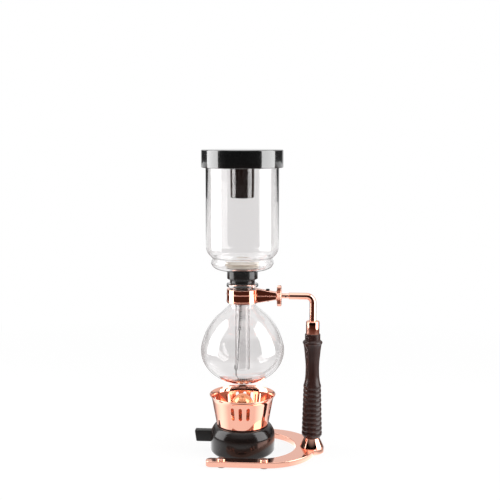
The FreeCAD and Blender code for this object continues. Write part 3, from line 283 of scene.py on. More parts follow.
class SiphonFinish(bpy.types.PropertyGroup):
    """Colours of the finishes."""
    copper: colour("Copper", "Polished rose copper plate", (0.93, 0.47, 0.355))
    copper_worn: colour("Worn copper", "Paler copper along rubbed edges", (0.98, 0.66, 0.54))
    # painted glow: redder than the outer copper, standing in for light bounced round inside the windshield
    copper_glow_inside: colour("Inner copper", "Copper reddened as a painted glow of light bounced round inside the cup", (0.95, 0.36, 0.17))
    wood: colour("Wood", "Dark stained wood", (0.020, 0.0065, 0.005))
    wood_light: colour("Light grain", "Lighter streaks of the wood", (0.038, 0.014, 0.011))
    plastic: colour("Plastic", "Glossy black plastic", (0.006, 0.006, 0.006))
    enamel: colour("Enamel", "Black enamel of the burner", (0.009, 0.006, 0.0055))
    enamel_worn: colour("Worn enamel", "Enamel along its edges", (0.025, 0.02, 0.018))
    tab: colour("Tab", "Satin black plastic of the burner's tab", (0.006, 0.0055, 0.0055))
    rubber: colour("Rubber", "Black rubber", (0.009, 0.009, 0.009))
    glass: colour("Glass", "Clear glass", (0.905, 0.895, 0.895))
    # painted dark reflection: far darker than steel's own colour, standing in for the dark surroundings the
    # wires mirror
    steel: colour("Steel", "Wire and sheet steel, darkened as a painted dark reflection", (0.07, 0.07, 0.072))
    dark_steel: colour("Dark steel", "Blackened pins", (0.035, 0.03, 0.03))
    flannel: colour("Flannel", "Filter cloth", (0.47, 0.41, 0.34))
    flannel_shade: colour("Flannel shade", "Filter cloth between its threads", (0.31, 0.26, 0.21))
    cotton: colour("Cotton", "Wick", (0.80, 0.76, 0.66))
    cotton_shade: colour("Cotton shade", "Wick between its strands", (0.50, 0.45, 0.36))
    brass: colour("Brass", "Wick holder", (0.72, 0.50, 0.20))


class SiphonStage(bpy.types.PropertyGroup):
    """Camera, lamps and floor."""
    lens: number("Lens", "Focal length in millimetres", 64.8)
    distance: length("Camera distance", "Bulb axis to the camera, along the floor", 1.26)
    height: length("Camera height", "Height of the camera", 0.4565)
    aside: length("Camera aside", "Sideways shift of the camera from the bulb axis", 0.0107)
    pitch: angle("Camera pitch", "How far the camera looks down", 7.35)
    azimuth: angle("Camera azimuth", "Turn of the camera about the bulb axis", 4.0)
    floor: length("Floor", "Half the width of the floor", 6.0)
    softbox: number("Softbox", "Brightness of the side lamps' faces", 4.6)
    softbox_away: length("Softbox distance", "Bulb axis to the side lamps", 0.85)
    softbox_height: length("Softbox height", "Height of the side lamps", 1.3)
    left_turn: angle("Left turn", "Direction of the left lamp, from the front", -86)
    left_width: length("Left width", "Width of the left lamp", 0.66)
    right_turn: angle("Right turn", "Direction of the right lamp, from the front", 81)
    right_width: length("Right width", "Width of the right lamp", 0.72)
    overhead: number("Overhead", "Brightness of the top lamp's face", 0.9)
    overhead_width: length("Overhead width", "Width of the top lamp", 1.2)
    overhead_height: length("Overhead height", "Height of the top lamp", 1.7)


class SiphonSettings(bpy.types.PropertyGroup):
    """All the sizes and colours of the siphon."""
    glass: PointerProperty(type=SiphonGlass)
    lid: PointerProperty(type=SiphonLid)
    filter: PointerProperty(type=SiphonFilter)
    post: PointerProperty(type=SiphonPost)
    clamp: PointerProperty(type=SiphonClamp)
    burner: PointerProperty(type=SiphonBurner)
    finish: PointerProperty(type=SiphonFinish)
    stage: PointerProperty(type=SiphonStage)


# Outlines

def steps_between(start, end, steps):
    return [start + (end - start) * i / steps for i in range(steps + 1)]


def round_turns(steps):
    """Even angles once round."""
    return [2 * math.pi * i / steps for i in range(steps)]


def arc(centre, radius, start, end, steps=6):
    """Points of an arc in an outline's plane, with angles in degrees."""
    turns = [math.radians(turn) for turn in steps_between(start, end, steps)]
    return [(centre[0] + radius * math.cos(t), centre[1] + radius * math.sin(t)) for t in turns]


def rounded(corners, steps=4):
    """Closed outline through corners (across, up, radius), each rounded by an arc of its radius."""
    points = []
    for i, (across, up, radius) in enumerate(corners):
        here = Vector((across, up))
        if radius <= 0:
            points.append((across, up))
            continue
        back = (Vector(corners[i - 1][:2]) - here).normalized()
        ahead = (Vector(corners[(i + 1) % len(corners)][:2]) - here).normalized()
        half = back.angle(ahead) / 2
        centre = here + (back + ahead).normalized() * (radius / math.sin(half))
        first = here + back * (radius / math.tan(half)) - centre
        last = here + ahead * (radius / math.tan(half)) - centre
        start = math.degrees(math.atan2(first.y, first.x))
        turn = math.degrees(math.atan2(first.x * last.y - first.y * last.x, first.dot(last)))
        points += arc(centre, radius, start, start + turn, steps)
    return points


def smooth(stations, start, end, steps=8):
    """Points of a smooth curve through stations, with the directions it starts and ends in."""
    places = [Vector(station) for station in stations]
    ways = [Vector(start)]
    for before, after in zip(places, places[2:]):
        ways.append((after - before).normalized())
    ways.append(Vector(end))
    points = []
    for i in range(len(places) - 1):
        a, b = places[i], places[i + 1]
        run = (b - a).length
        for step in range(steps):
            t = step / steps
            hermite = (a * (2 * t ** 3 - 3 * t ** 2 + 1) + ways[i] * run * (t ** 3 - 2 * t ** 2 + t)
                       + b * (3 * t ** 2 - 2 * t ** 3) + ways[i + 1] * run * (t ** 3 - t ** 2))
            points.append(tuple(hermite))
    points.append(tuple(places[-1]))
    return points


def inset(points, wall):
    """An outline that runs down a vessel's outside, moved inwards by its wall."""
    moved = []
    for i, (across, up) in enumerate(points):
        before = Vector(points[max(i - 1, 0)])
        after = Vector(points[min(i + 1, len(points) - 1)])
        way = (after - before).normalized()
        moved.append((max(across + way.y * wall, 0.0), up - way.x * wall))
    return moved


# Meshes

def join_rings(maker, first, second):
    """Faces between two rings of points, either of which may be one point."""
    steps = max(len(first), len(second))
    for i in range(steps):
        j = (i + 1) % steps
        if len(first) == 1 and len(second) == 1:
            return
        if len(first) == 1:
            maker.faces.new((first[0], second[j], second[i]))
        elif len(second) == 1:
            maker.faces.new((first[i], first[j], second[0]))
        else:
            maker.faces.new((first[i], first[j], second[j], second[i]))


def skin(maker, rings, closed=False, capped=False):
    """Faces along a row of rings, which may close on itself or have a cap at both ends."""
    for first, second in zip(rings, rings[1:]):
        join_rings(maker, first, second)
    if closed:
        join_rings(maker, rings[-1], rings[0])
    if capped:
        maker.faces.new(rings[0])
        maker.faces.new(rings[-1])


def shade(mesh):
    """Shade a mesh smooth, with its hard edges kept."""
    mesh.shade_smooth()
    mesh.set_sharp_from_angle(angle=SHARP)


def solid(name, maker):
    """Turn a finished bmesh into an object in the scene."""
    bmesh.ops.recalc_face_normals(maker, faces=maker.faces)
    mesh = bpy.data.meshes.new(name)
    maker.to_mesh(mesh)
    maker.free()
    shade(mesh)
    piece = bpy.data.objects.new(name, mesh)
    bpy.context.scene.collection.objects.link(piece)
    return piece


def flat_faces(piece):
    """Keep a piece's flat faces flat beside its rounded edges."""
    piece.modifiers.new("flat faces stay flat", "WEIGHTED_NORMAL").keep_sharp = True
    return piece


def bake_modifiers(piece):
    """Apply a piece's modifiers to its mesh, and keep its hard edges."""
    graph = bpy.context.evaluated_depsgraph_get()
    mesh = bpy.data.meshes.new_from_object(piece.evaluated_get(graph))
    piece.modifiers.clear()
    piece.data = mesh
    shade(mesh)


def eased(piece, width, steps, corner):
    """Round a piece's edges that turn by more than a corner's degrees."""
    bevel = piece.modifiers.new("eased edges", "BEVEL")
    bevel.width = width
    bevel.segments = steps
    bevel.limit_method = "ANGLE"
    bevel.angle_limit = math.radians(corner)
    bake_modifiers(piece)
    return flat_faces(piece)


def turned(name, outline, axis_x=BULB_X, segments=SEGMENTS, closed=True, wobble=None):
    """Turn an outline of (radius, height) about an upright axis. wobble changes a radius by its angle."""
    maker = bmesh.new()
    rings = []
    for radius, z in outline:
        if radius < TINY:
            rings.append([maker.verts.new((axis_x, 0, z))])
            continue
        ring = []
        for t in round_turns(segments):
            out = radius + (wobble(radius, z, t) if wobble else 0.0)
            ring.append(maker.verts.new((axis_x + out * math.cos(t), out * math.sin(t), z)))
        rings.append(ring)
    skin(maker, rings, closed)
    return solid(name, maker)


def swept(maker, path, radius, segments=WIRE_SEGMENTS, closed=False):
    """Add a round bar along a path of points. radius is one value, or one for each point."""
    places = [Vector(point) for point in path]
    radii = radius if isinstance(radius, list) else [radius] * len(places)
    last = len(places) - 1
    side = None
    rings = []
    for i, place in enumerate(places):
        before = places[i - 1] if closed or i > 0 else place
        after = places[(i + 1) % len(places)] if closed or i < last else place
        way = (after - before).normalized()
        if side is None:
            side = way.orthogonal().normalized()
        side = (side - way * side.dot(way)).normalized()
        other = way.cross(side)
        rings.append([maker.verts.new(place + (side * math.cos(t) + other * math.sin(t)) * radii[i])
                      for t in round_turns(segments)])
    skin(maker, rings, closed, capped=not closed)


def loop_points(centre, radius, steps=24, upright=True):
    """Points of a closed ring, in the XZ plane or across it."""
    points = []
    for t in round_turns(steps):
        level = (math.cos(t), 0) if upright else (0, math.cos(t))
        points.append(Vector(centre) + Vector((*level, math.sin(t))) * radius)
    return points


def prism(name, outline, low, high, place, edge):
    """Extrude an outline between two levels and round its edges. place turns (u, v, level) to a point."""
    maker = bmesh.new()
    rings = [[maker.verts.new(place(u, v, level)) for u, v in outline] for level in (low, high)]
    skin(maker, rings, capped=True)
    return eased(solid(name, maker), edge, steps=3, corner=50)


# Shader groups

def new_group(name, inputs, outputs):
    """A shader group with sockets by name and default, a tuple for a colour, and its two end nodes."""
    tree = bpy.data.node_groups.new(name, "ShaderNodeTree")
    for in_out, sockets in (("INPUT", inputs), ("OUTPUT", outputs)):
        for label, default in sockets.items():
            kind = "NodeSocketColor" if isinstance(default, tuple) else "NodeSocketFloat"
            tree.interface.new_socket(label, in_out=in_out, socket_type=kind).default_value = default
    return tree, tree.nodes.new("NodeGroupInput"), tree.nodes.new("NodeGroupOutput")


def add(tree, kind, values=None, **settings):
    """A new node with its settings, and its input values by socket name or number."""
    node = tree.nodes.new(kind)
    for key, value in settings.items():
        setattr(node, key, value)
    for key, value in (values or {}).items():
        node.inputs[key].default_value = value
    return node


def feed(tree, source, socket):
    """Link an input to a socket, or set it to a number."""
    if isinstance(source, (int, float)):
        socket.default_value = source
    else:
        tree.links.new(source, socket)


def place_noise(tree, scale, detail=3.0, stretch=None):
    """Noise that lies still on the object. scale is a socket, or a number of spots to a metre."""
    where = add(tree, "ShaderNodeTexCoord").outputs["Object"]
    if stretch:
        mapping = add(tree, "ShaderNodeMapping", values={"Scale": stretch})
        tree.links.new(where, mapping.inputs["Vector"])
        where = mapping.outputs["Vector"]
    noise = add(tree, "ShaderNodeTexNoise", values={"Detail": detail, "Roughness": 0.6})
    tree.links.new(where, noise.inputs["Vector"])
    feed(tree, scale, noise.inputs["Scale"])
    return noise.outputs["Fac"]


def ranged(tree, source, low, high, to_low=0.0, to_high=1.0):
    """A value carried from one range to another, with sockets or numbers for the new ends."""
    node = add(tree, "ShaderNodeMapRange", values={"From Min": low, "From Max": high})
    tree.links.new(source, node.inputs["Value"])
    feed(tree, to_low, node.inputs["To Min"])
    feed(tree, to_high, node.inputs["To Max"])
    return node.outputs["Result"]


def computed(tree, operation, *values):
    """The result of a Math node, from sockets or numbers."""
    node = add(tree, "ShaderNodeMath", operation=operation)
    for value, socket in zip(values, node.inputs):
        feed(tree, value, socket)
    return node.outputs["Value"]


def times(tree, a, b):
    return computed(tree, "MULTIPLY", a, b)


def plus(tree, a, b):
    return computed(tree, "ADD", a, b)


def largest(tree, *values):
    result = values[0]
    for value in values[1:]:
        result = computed(tree, "MAXIMUM", result, value)
    return result


def axes(tree, vector):
    """The X, Y and Z of a vector socket."""
    node = add(tree, "ShaderNodeSeparateXYZ")
    tree.links.new(vector, node.inputs["Vector"])
    return node.outputs


def mixed_shaders(tree, mask, first, second):
    """A shader between two shader sockets."""
    node = add(tree, "ShaderNodeMixShader")
    for source, socket in zip((mask, first, second), node.inputs):
        tree.links.new(source, socket)
    return node.outputs["Shader"]


def mixed(tree, mask, first, second):
    """A colour between two colour sockets."""
    node = add(tree, "ShaderNodeMix", data_type="RGBA")
    tree.links.new(mask, node.inputs["Factor"])
    tree.links.new(first, node.inputs["A"])
    tree.links.new(second, node.inputs["B"])
    return node.outputs["Result"]


def no_mirror(tree, rays):
    """Mask of the rays that met no mirror."""
    return ranged(tree, rays["Glossy Depth"], 0.0, 1.0, 1.0, 0.0)


def eye_rays(tree, rays, onward):
    """Mask of the camera's rays, straight or through glass, that met no mirror or go onward from one."""
    seen = plus(tree, rays["Is Camera Ray"], rays["Is Transmission Ray"])
    one_wall = ranged(tree, rays["Transmission Depth"], 2.0, 3.0, 1.0, 0.0)
    return times(tree, seen, largest(tree, no_mirror(tree, rays), times(tree, one_wall, onward)))


@cache
def smudge_group():
    """Roughness that drifts between wiped and handled patches."""
    tree, enter, leave = new_group("handled patches", {"Scale": 40.0, "Clean": 0.05, "Handled": 0.12},
                                   {"Roughness": 0.1})
    spots = place_noise(tree, enter.outputs["Scale"], detail=4.0)
    rough = ranged(tree, spots, 0.4, 0.7, enter.outputs["Clean"], enter.outputs["Handled"])
    tree.links.new(rough, leave.inputs["Roughness"])
    return tree


@cache
def wear_group():
    """Paler colour where edges are rubbed, broken up by noise, over a slow drift of tone."""
    tree, enter, leave = new_group("rubbed edges", {"Color": GREY, "Worn Color": WHITE, "Amount": 0.5,
                                                    "Drift": 0.1}, {"Color": GREY})
    pointed = add(tree, "ShaderNodeNewGeometry").outputs["Pointiness"]
    edges = ranged(tree, pointed, low=0.51, high=0.6)
    broken = ranged(tree, place_noise(tree, scale=420.0), low=0.35, high=0.6)
    rubbed = times(tree, times(tree, edges, broken), enter.outputs["Amount"])
    slow = ranged(tree, place_noise(tree, scale=22.0), low=0.35, high=0.7)
    mask = plus(tree, rubbed, times(tree, slow, enter.outputs["Drift"]))
    worn = mixed(tree, mask, enter.outputs["Color"], enter.outputs["Worn Color"])
    tree.links.new(worn, leave.inputs["Color"])
    return tree


@cache
def grain_group():
    """Streaks of wood along the upright axis."""
    tree, enter, leave = new_group("upright grain", {"Dark": GREY, "Light": WHITE},
                                   {"Color": GREY, "Height": 0.0})
    long_spots = place_noise(tree, scale=330.0, detail=6.0, stretch=(1, 1, 0.05))
    long_pores = place_noise(tree, scale=1500.0, detail=2.0, stretch=(1, 1, 0.03))
    streaks = ranged(tree, long_spots, low=0.38, high=0.68)
    pores = ranged(tree, long_pores, low=0.55, high=0.7)
    tree.links.new(mixed(tree, streaks, enter.outputs["Dark"], enter.outputs["Light"]), leave.inputs["Color"])
    tree.links.new(pores, leave.inputs["Height"])
    return tree


@cache
def weave_group():
    """Crossing threads of cloth."""
    tree, enter, leave = new_group("crossing threads", {"Color": WHITE, "Shade": GREY, "Threads": 300.0},
                                   {"Color": GREY, "Height": 0.0})
    where = add(tree, "ShaderNodeTexCoord").outputs["Object"]
    bands = None
    for direction in ("X", "Y", "Z"):
        wave = add(tree, "ShaderNodeTexWave", bands_direction=direction,
                   values={"Distortion": 1.2, "Detail": 1.0, "Detail Scale": 2.0})
        tree.links.new(where, wave.inputs["Vector"])
        tree.links.new(enter.outputs["Threads"], wave.inputs["Scale"])
        third = times(tree, wave.outputs["Fac"], 1 / 3)
        bands = plus(tree, bands, third) if bands else third
    tree.links.new(mixed(tree, bands, enter.outputs["Shade"], enter.outputs["Color"]), leave.inputs["Color"])
    tree.links.new(bands, leave.inputs["Height"])
    return tree


# Finishes

def opaque(tone):
    return (*tone, 1.0)


def shaded(name, values):
    """A new material with one Principled shader, whose even values are set on its own sockets."""
    material = bpy.data.materials.new(name)
    material.use_nodes = True
    shader = material.node_tree.nodes["Principled BSDF"]
    for label, value in values.items():
        shader.inputs[label].default_value = value
    return material, material.node_tree, shader


def placed(tree, group, **values):
    """A shader group in a material, with its own values."""
    node = add(tree, "ShaderNodeGroup", node_tree=group)
    for label, value in values.items():
        node.inputs[label.replace("_", " ")].default_value = value
    return node


def bumped(tree, shader, height, strength, distance):
    bump = add(tree, "ShaderNodeBump", values={"Strength": strength, "Distance": distance})
    tree.links.new(height, bump.inputs["Height"])
    tree.links.new(bump.outputs["Normal"], shader.inputs["Normal"])


def worn_finish(name, tone, worn, values, amount, drift, scale, clean, handled, bump=None):
    """A hard finish with rubbed edges and handled patches. bump is its unevenness: spots, strength, depth."""
    material, tree, shader = shaded(name, values)
    wear = placed(tree, wear_group(), Color=opaque(tone), Worn_Color=opaque(worn), Amount=amount, Drift=drift)
    patches = placed(tree, smudge_group(), Scale=scale, Clean=clean, Handled=handled)
    tree.links.new(wear.outputs["Color"], shader.inputs["Base Color"])
    tree.links.new(patches.outputs["Roughness"], shader.inputs["Roughness"])
    if bump:
        spots, strength, depth = bump
        bumped(tree, shader, place_noise(tree, spots), strength, depth)
    return material


def tones():
    return bpy.context.scene.siphon.finish


def paler(tone, gain):
    return tuple(min(1.0, value * gain) for value in tone)


def copper_plate():
    """Mirror-polished rose copper."""
    return worn_finish("copper plate", tones().copper, tones().copper_worn, {"Metallic": 1.0},
                       amount=0.5, drift=0.08, scale=35.0, clean=0.05, handled=0.10)


def satin_copper_painted_glow():
    """Brushed copper inside the windshield, made redder than the outer copper as a painted glow of light
    bounced round inside the cup.
    """
    return worn_finish("satin copper, painted glow", tones().copper_glow_inside, tones().copper_worn, {"Metallic": 0.72},
                       amount=0.4, drift=0.1, scale=60.0, clean=0.2, handled=0.3)


def plain_metal(name, tone, clean=0.16, handled=0.3):
    return worn_finish(name, tone, paler(tone, 1.4), {"Metallic": 1.0},
                       amount=0.5, drift=0.15, scale=120.0, clean=clean, handled=handled)


# steel colour darkened as a painted dark reflection
def steel_painted_dark_reflection():
    return plain_metal("steel with painted dark reflection", tones().steel)


def dark_steel():
    return plain_metal("dark steel", tones().dark_steel, clean=0.3, handled=0.45)


def turned_brass():
    return plain_metal("turned brass", tones().brass)


def black_plastic():
    """Glossy moulded plastic with a deep polish."""
    values = {"Coat Weight": 1.0, "Coat IOR": 1.75, "Coat Roughness": 0.02, "Specular IOR Level": 0.6}
    return worn_finish("black plastic", tones().plastic, paler(tones().plastic, 3), values,
                       amount=0.4, drift=0.1, scale=45.0, clean=0.12, handled=0.22)


def burner_enamel():
    """Black enamel with a soft shine."""
    values = {"Coat Weight": 0.55, "Coat IOR": 1.6, "Coat Roughness": 0.16, "Specular IOR Level": 0.05}
    return worn_finish("burner enamel", tones().enamel, tones().enamel_worn, values, amount=0.6, drift=0.25,
                       scale=60.0, clean=0.14, handled=0.26, bump=(160.0, 0.08, 0.4 * MM))


def tab_plastic():
    """Satin moulded plastic."""
    return worn_finish("tab plastic", tones().tab, paler(tones().tab, 2.5), {"Specular IOR Level": 0.3},
                       amount=0.5, drift=0.2, scale=90.0, clean=0.35, handled=0.5,
                       bump=(1800.0, 0.1, 0.1 * MM))


def black_rubber():
    return worn_finish("black rubber", tones().rubber, paler(tones().rubber, 3), {},
                       amount=0.4, drift=0.3, scale=80.0, clean=0.14, handled=0.24,
                       bump=(900.0, 0.1, 0.15 * MM))


def dark_wood():
    """Dark stained and lacquered wood."""
    values = {"Coat Weight": 0.3, "Coat Roughness": 0.1, "Specular IOR Level": 0.2}
    material, tree, shader = shaded("dark wood", values)
    light = opaque(tones().wood_light)
    grain = placed(tree, grain_group(), Dark=opaque(tones().wood), Light=light)
    wear = placed(tree, wear_group(), Worn_Color=light, Amount=0.2, Drift=0.1)
    patches = placed(tree, smudge_group(), Scale=70.0, Clean=0.34, Handled=0.46)
    tree.links.new(grain.outputs["Color"], wear.inputs["Color"])
    tree.links.new(wear.outputs["Color"], shader.inputs["Base Color"])
    tree.links.new(patches.outputs["Roughness"], shader.inputs["Roughness"])
    bumped(tree, shader, grain.outputs["Height"], strength=0.12, distance=0.15 * MM)
    return material


def clear_glass():
    """Clear glass that lets the lamps' light through to what it holds."""
    values = {"Transmission Weight": 1.0, "IOR": 1.47, "Base Color": opaque(tones().glass)}
    material, tree, shader = shaded("clear glass", values)
    patches = placed(tree, smudge_group(), Scale=18.0, Clean=0.0, Handled=0.02)
    tree.links.new(patches.outputs["Roughness"], shader.inputs["Roughness"])
    clear = add(tree, "ShaderNodeBsdfTransparent").outputs["BSDF"]
    shadow = add(tree, "ShaderNodeLightPath").outputs["Is Shadow Ray"]
    whole = mixed_shaders(tree, shadow, shader.outputs["BSDF"], clear)
    tree.links.new(whole, tree.nodes["Material Output"].inputs["Surface"])
    return material


def cloth_finish(name, tone, shadow, threads):
    material, tree, shader = shaded(name, {"Roughness": 0.9, "Sheen Weight": 0.3})
    weave = placed(tree, weave_group(), Color=opaque(tone), Shade=opaque(shadow), Threads=threads)
    tree.links.new(weave.outputs["Color"], shader.inputs["Base Color"])
    bumped(tree, shader, weave.outputs["Height"], strength=0.5, distance=0.3 * MM)
    return material


def filter_flannel():
    return cloth_finish("filter flannel", tones().flannel, tones().flannel_shade, threads=260.0)


def wick_cotton():
    return cloth_finish("wick cotton", tones().cotton, tones().cotton_shade, threads=160.0)


FINISHES = {
    "copper_plate": copper_plate, "dark_wood": dark_wood, "black_plastic": black_plastic,
    "burner_enamel": burner_enamel, "burner_tab_plastic": tab_plastic, "black_rubber": black_rubber,
    "clear_glass": clear_glass, "steel": steel_painted_dark_reflection, "dark_steel": dark_steel,
    "filter_flannel": filter_flannel, "wick_cotton": wick_cotton, "brass": turned_brass,
    "tank_metal": steel_painted_dark_reflection,
}


@cache
def made(finish):
    """A finish's material, made once."""
    return finish()


def finish_of(node):
    return made(FINISHES[RECORD_SLOTS[node]])


def stand_for(piece, *nodes):
    """Give a piece the finish of the nodes it stands for, and put it in their place on their body."""
    piece.data.materials.append(finish_of(nodes[0]))
    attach(piece, frame["nodes"][nodes[0]]["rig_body"])
    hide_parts(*nodes)
    return piece


def keep(*nodes):
    """Give nodes that stay as they are the finish of their slots."""
    for node in nodes:
        mesh = frame["nodes"][node].data
        mesh.materials.clear()
        mesh.materials.append(finish_of(node))


# Operators

class SIPHON_OT_glass(bpy.types.Operator):
    """Build the glass bulb and the glass chamber"""
    bl_idname = "siphon.glass"
    bl_label = "Glass"
    CURVE = (0.44, 0.62, 0.78, 0.91)    # shares of the bulb's radius that its upper curve runs through
    THROAT = 1.5 * MM                   # rounding where the bore widens to the lip
    LIP_INSIDE = 0.8 * MM               # of the lip's inner edge
    LIP_UNDER = 0.9 * MM                # of its lower edge
    LIP_ROOT = 1.2 * MM                 # and where it leaves the neck

    def execute(self, context):
        sizes = context.scene.siphon.glass
        bulb = turned("glass_bulb", self.bulb(sizes), closed=False)
        stand_for(bulb, "bulb_neck", "bulb_shoulder", "bulb_bowl")
        chamber = turned("glass_chamber", self.chamber(sizes))
        stand_for(chamber, "chamber_wall", "chamber_well", "chamber_stem")
        return {"FINISHED"}

    def bulb(self, sizes):
        """Down the bulb's outside to its bottom, and up its inside to the lip."""
        widest = CLAMP_Z - sizes.bulb_drop
        stations = [(sizes.neck_radius, CLAMP_Z - sizes.neck_low)]
        for part in self.CURVE:
            rise = (1 - part ** sizes.bulb_power) ** (1 / sizes.bulb_power)
            stations.append((sizes.bulb_radius * part, widest + sizes.bulb_rise * rise))
        stations.append((sizes.bulb_radius, widest))
        side = smooth(stations, (0, -1), (0, -1))
        for turn in steps_between(0, math.pi / 2, 20)[1:]:
            side.append((sizes.bulb_radius * math.cos(turn), widest - sizes.bulb_depth * math.sin(turn)))
        side[-1] = (0.0, widest - sizes.bulb_depth)
        inner = inset(side, sizes.bulb_wall)
        inner[-1] = (0.0, widest - sizes.bulb_depth + sizes.bulb_wall)
        bore = sizes.neck_radius - sizes.bulb_wall
        inner[0] = (bore, side[0][1])
        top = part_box("bulb_neck")[1].z
        lip_low = CLAMP_Z + sizes.lip_low
        lip = rounded([
            (bore, inner[0][1], 0), (bore, lip_low, self.THROAT),
            (bore + sizes.lip_flare, top, self.LIP_INSIDE), (sizes.lip_radius, top, sizes.lip_edge),
            (sizes.lip_radius, lip_low + sizes.lip_rise, self.LIP_UNDER),
            (sizes.neck_radius, lip_low, self.LIP_ROOT), (sizes.neck_radius, side[0][1], 0),
        ])
        return inner[::-1] + lip[1:-1] + side

    def chamber(self, sizes):
        """Down the chamber's outside to the stem's end, and up its inside to the rim."""
        low = CLAMP_Z + sizes.chamber_low
        floor = low + sizes.chamber_wall
        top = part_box("chamber_wall")[1].z
        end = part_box("chamber_stem")[0].z
        wall = (sizes.chamber_radius, low + sizes.shoulder_height)
        groove = (sizes.groove_radius, low + sizes.groove_height)
        well = (sizes.well_radius, low + sizes.well_height)
        flat = (sizes.flat_radius, low)

        def between(a, b, across, up):
            """A point at shares of the way from a to b."""
            return (a[0] + (b[0] - a[0]) * across, a[1] + (b[1] - a[1]) * up)

        side = smooth([
            wall, between(wall, groove, 0.2, 0.48), between(wall, groove, 0.76, 0.86), groove,
            between(well, groove, 0.2, 0.5), well, between(well, flat, 0.17, 0.54),
            between(well, flat, 0.52, 0.88), flat,
        ], (0, -1), (-1, 0))
        inner = inset(side, sizes.chamber_wall)
        inner[0] = (wall[0] - sizes.chamber_wall, wall[1])
        inner[-1] = (flat[0], floor)
        stem_in = sizes.stem_radius - sizes.stem_wall
        half = sizes.chamber_wall / 2
        stem_half = sizes.stem_wall / 2
        rim = arc((wall[0] - half, top - half), half, 180, 0, 8)
        root = 1.2 * MM
        mouth = 1.0 * MM
        stem = [(sizes.stem_radius + root, low), (sizes.stem_radius, low - root)]
        stem += arc((stem_in + stem_half, end + stem_half), stem_half, 0, -180, 6)
        stem += [(stem_in, floor - mouth), (stem_in + mouth, floor)]
        return rim + side + stem + inner[::-1]


class SIPHON_OT_lid(bpy.types.Operator):
    """Build the lid with its hanging tube"""
    bl_idname = "siphon.lid"
    bl_label = "Lid"
    CORNER = 1.0 * MM       # rounding of the corners inside the tube and the skirt
    TUBE_ROOT = 1.2 * MM    # round the tube's root
    TUBE_INSIDE = 0.6 * MM  # of the tube's free end
    TUBE_OUTSIDE = 0.9 * MM
    RING_ROOT = 0.6 * MM    # beside the locating ring
    RING_EDGE = 0.5 * MM    # of the ring's edges
    SKIRT_INSIDE = 0.7 * MM     # of the skirt's lower edge
    SKIRT_OUTSIDE = 0.9 * MM

    def execute(self, context):
        sizes = context.scene.siphon.lid
        low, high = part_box("lid")
        under = high.z - sizes.wall
        skirt_low = under - sizes.skirt
        skirt_in = sizes.radius - sizes.wall
        ring_in = sizes.ring_radius - sizes.ring_wall
        ring_low = under - sizes.ring_height
        outline = rounded([
            (0, under, 0), (sizes.tube_radius - sizes.tube_wall, under, self.CORNER),
            (sizes.tube_tip - sizes.tube_wall, low.z, self.TUBE_INSIDE),
            (sizes.tube_tip, low.z, self.TUBE_OUTSIDE), (sizes.tube_radius, under, self.TUBE_ROOT),
            (ring_in, under, self.RING_ROOT), (ring_in, ring_low, self.RING_EDGE),
            (sizes.ring_radius, ring_low, self.RING_EDGE), (sizes.ring_radius, under, self.RING_ROOT),
            (skirt_in, under, self.CORNER), (skirt_in, skirt_low, self.SKIRT_INSIDE),
            (sizes.radius, skirt_low, self.SKIRT_OUTSIDE), (sizes.radius, high.z, sizes.edge), (0, high.z, 0),
        ])
        stand_for(turned("black_lid", outline, closed=False), "lid")
        return {"FINISHED"}


class SIPHON_OT_stopper(bpy.types.Operator):
    """Build the rubber stopper"""
    bl_idname = "siphon.stopper"
    bl_label = "Stopper"

    def execute(self, context):
        sizes = context.scene.siphon.lid
        low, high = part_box("stopper")
        bore = context.scene.siphon.glass.stem_radius + PLAY
        lip_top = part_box("bulb_neck")[1].z
        plug_top = CLAMP_Z + 9.8 * MM
        cap_low = high.z - sizes.stopper_cap
        soft = sizes.soft_edge
        bore_edge = 0.6 * MM
        outline = rounded([
            (bore, high.z, bore_edge), (sizes.stopper_radius, high.z, soft),
            (sizes.stopper_radius, cap_low, soft * 1.2), (sizes.stopper_step, cap_low - soft, soft * 0.6),
            (sizes.stopper_step, lip_top + soft, soft * 0.4), (sizes.plug_radius, plug_top, soft),
            (sizes.plug_tip, low.z, soft), (bore, low.z, bore_edge),
        ])
        stand_for(turned("rubber_stopper", outline), "stopper")
        return {"FINISHED"}


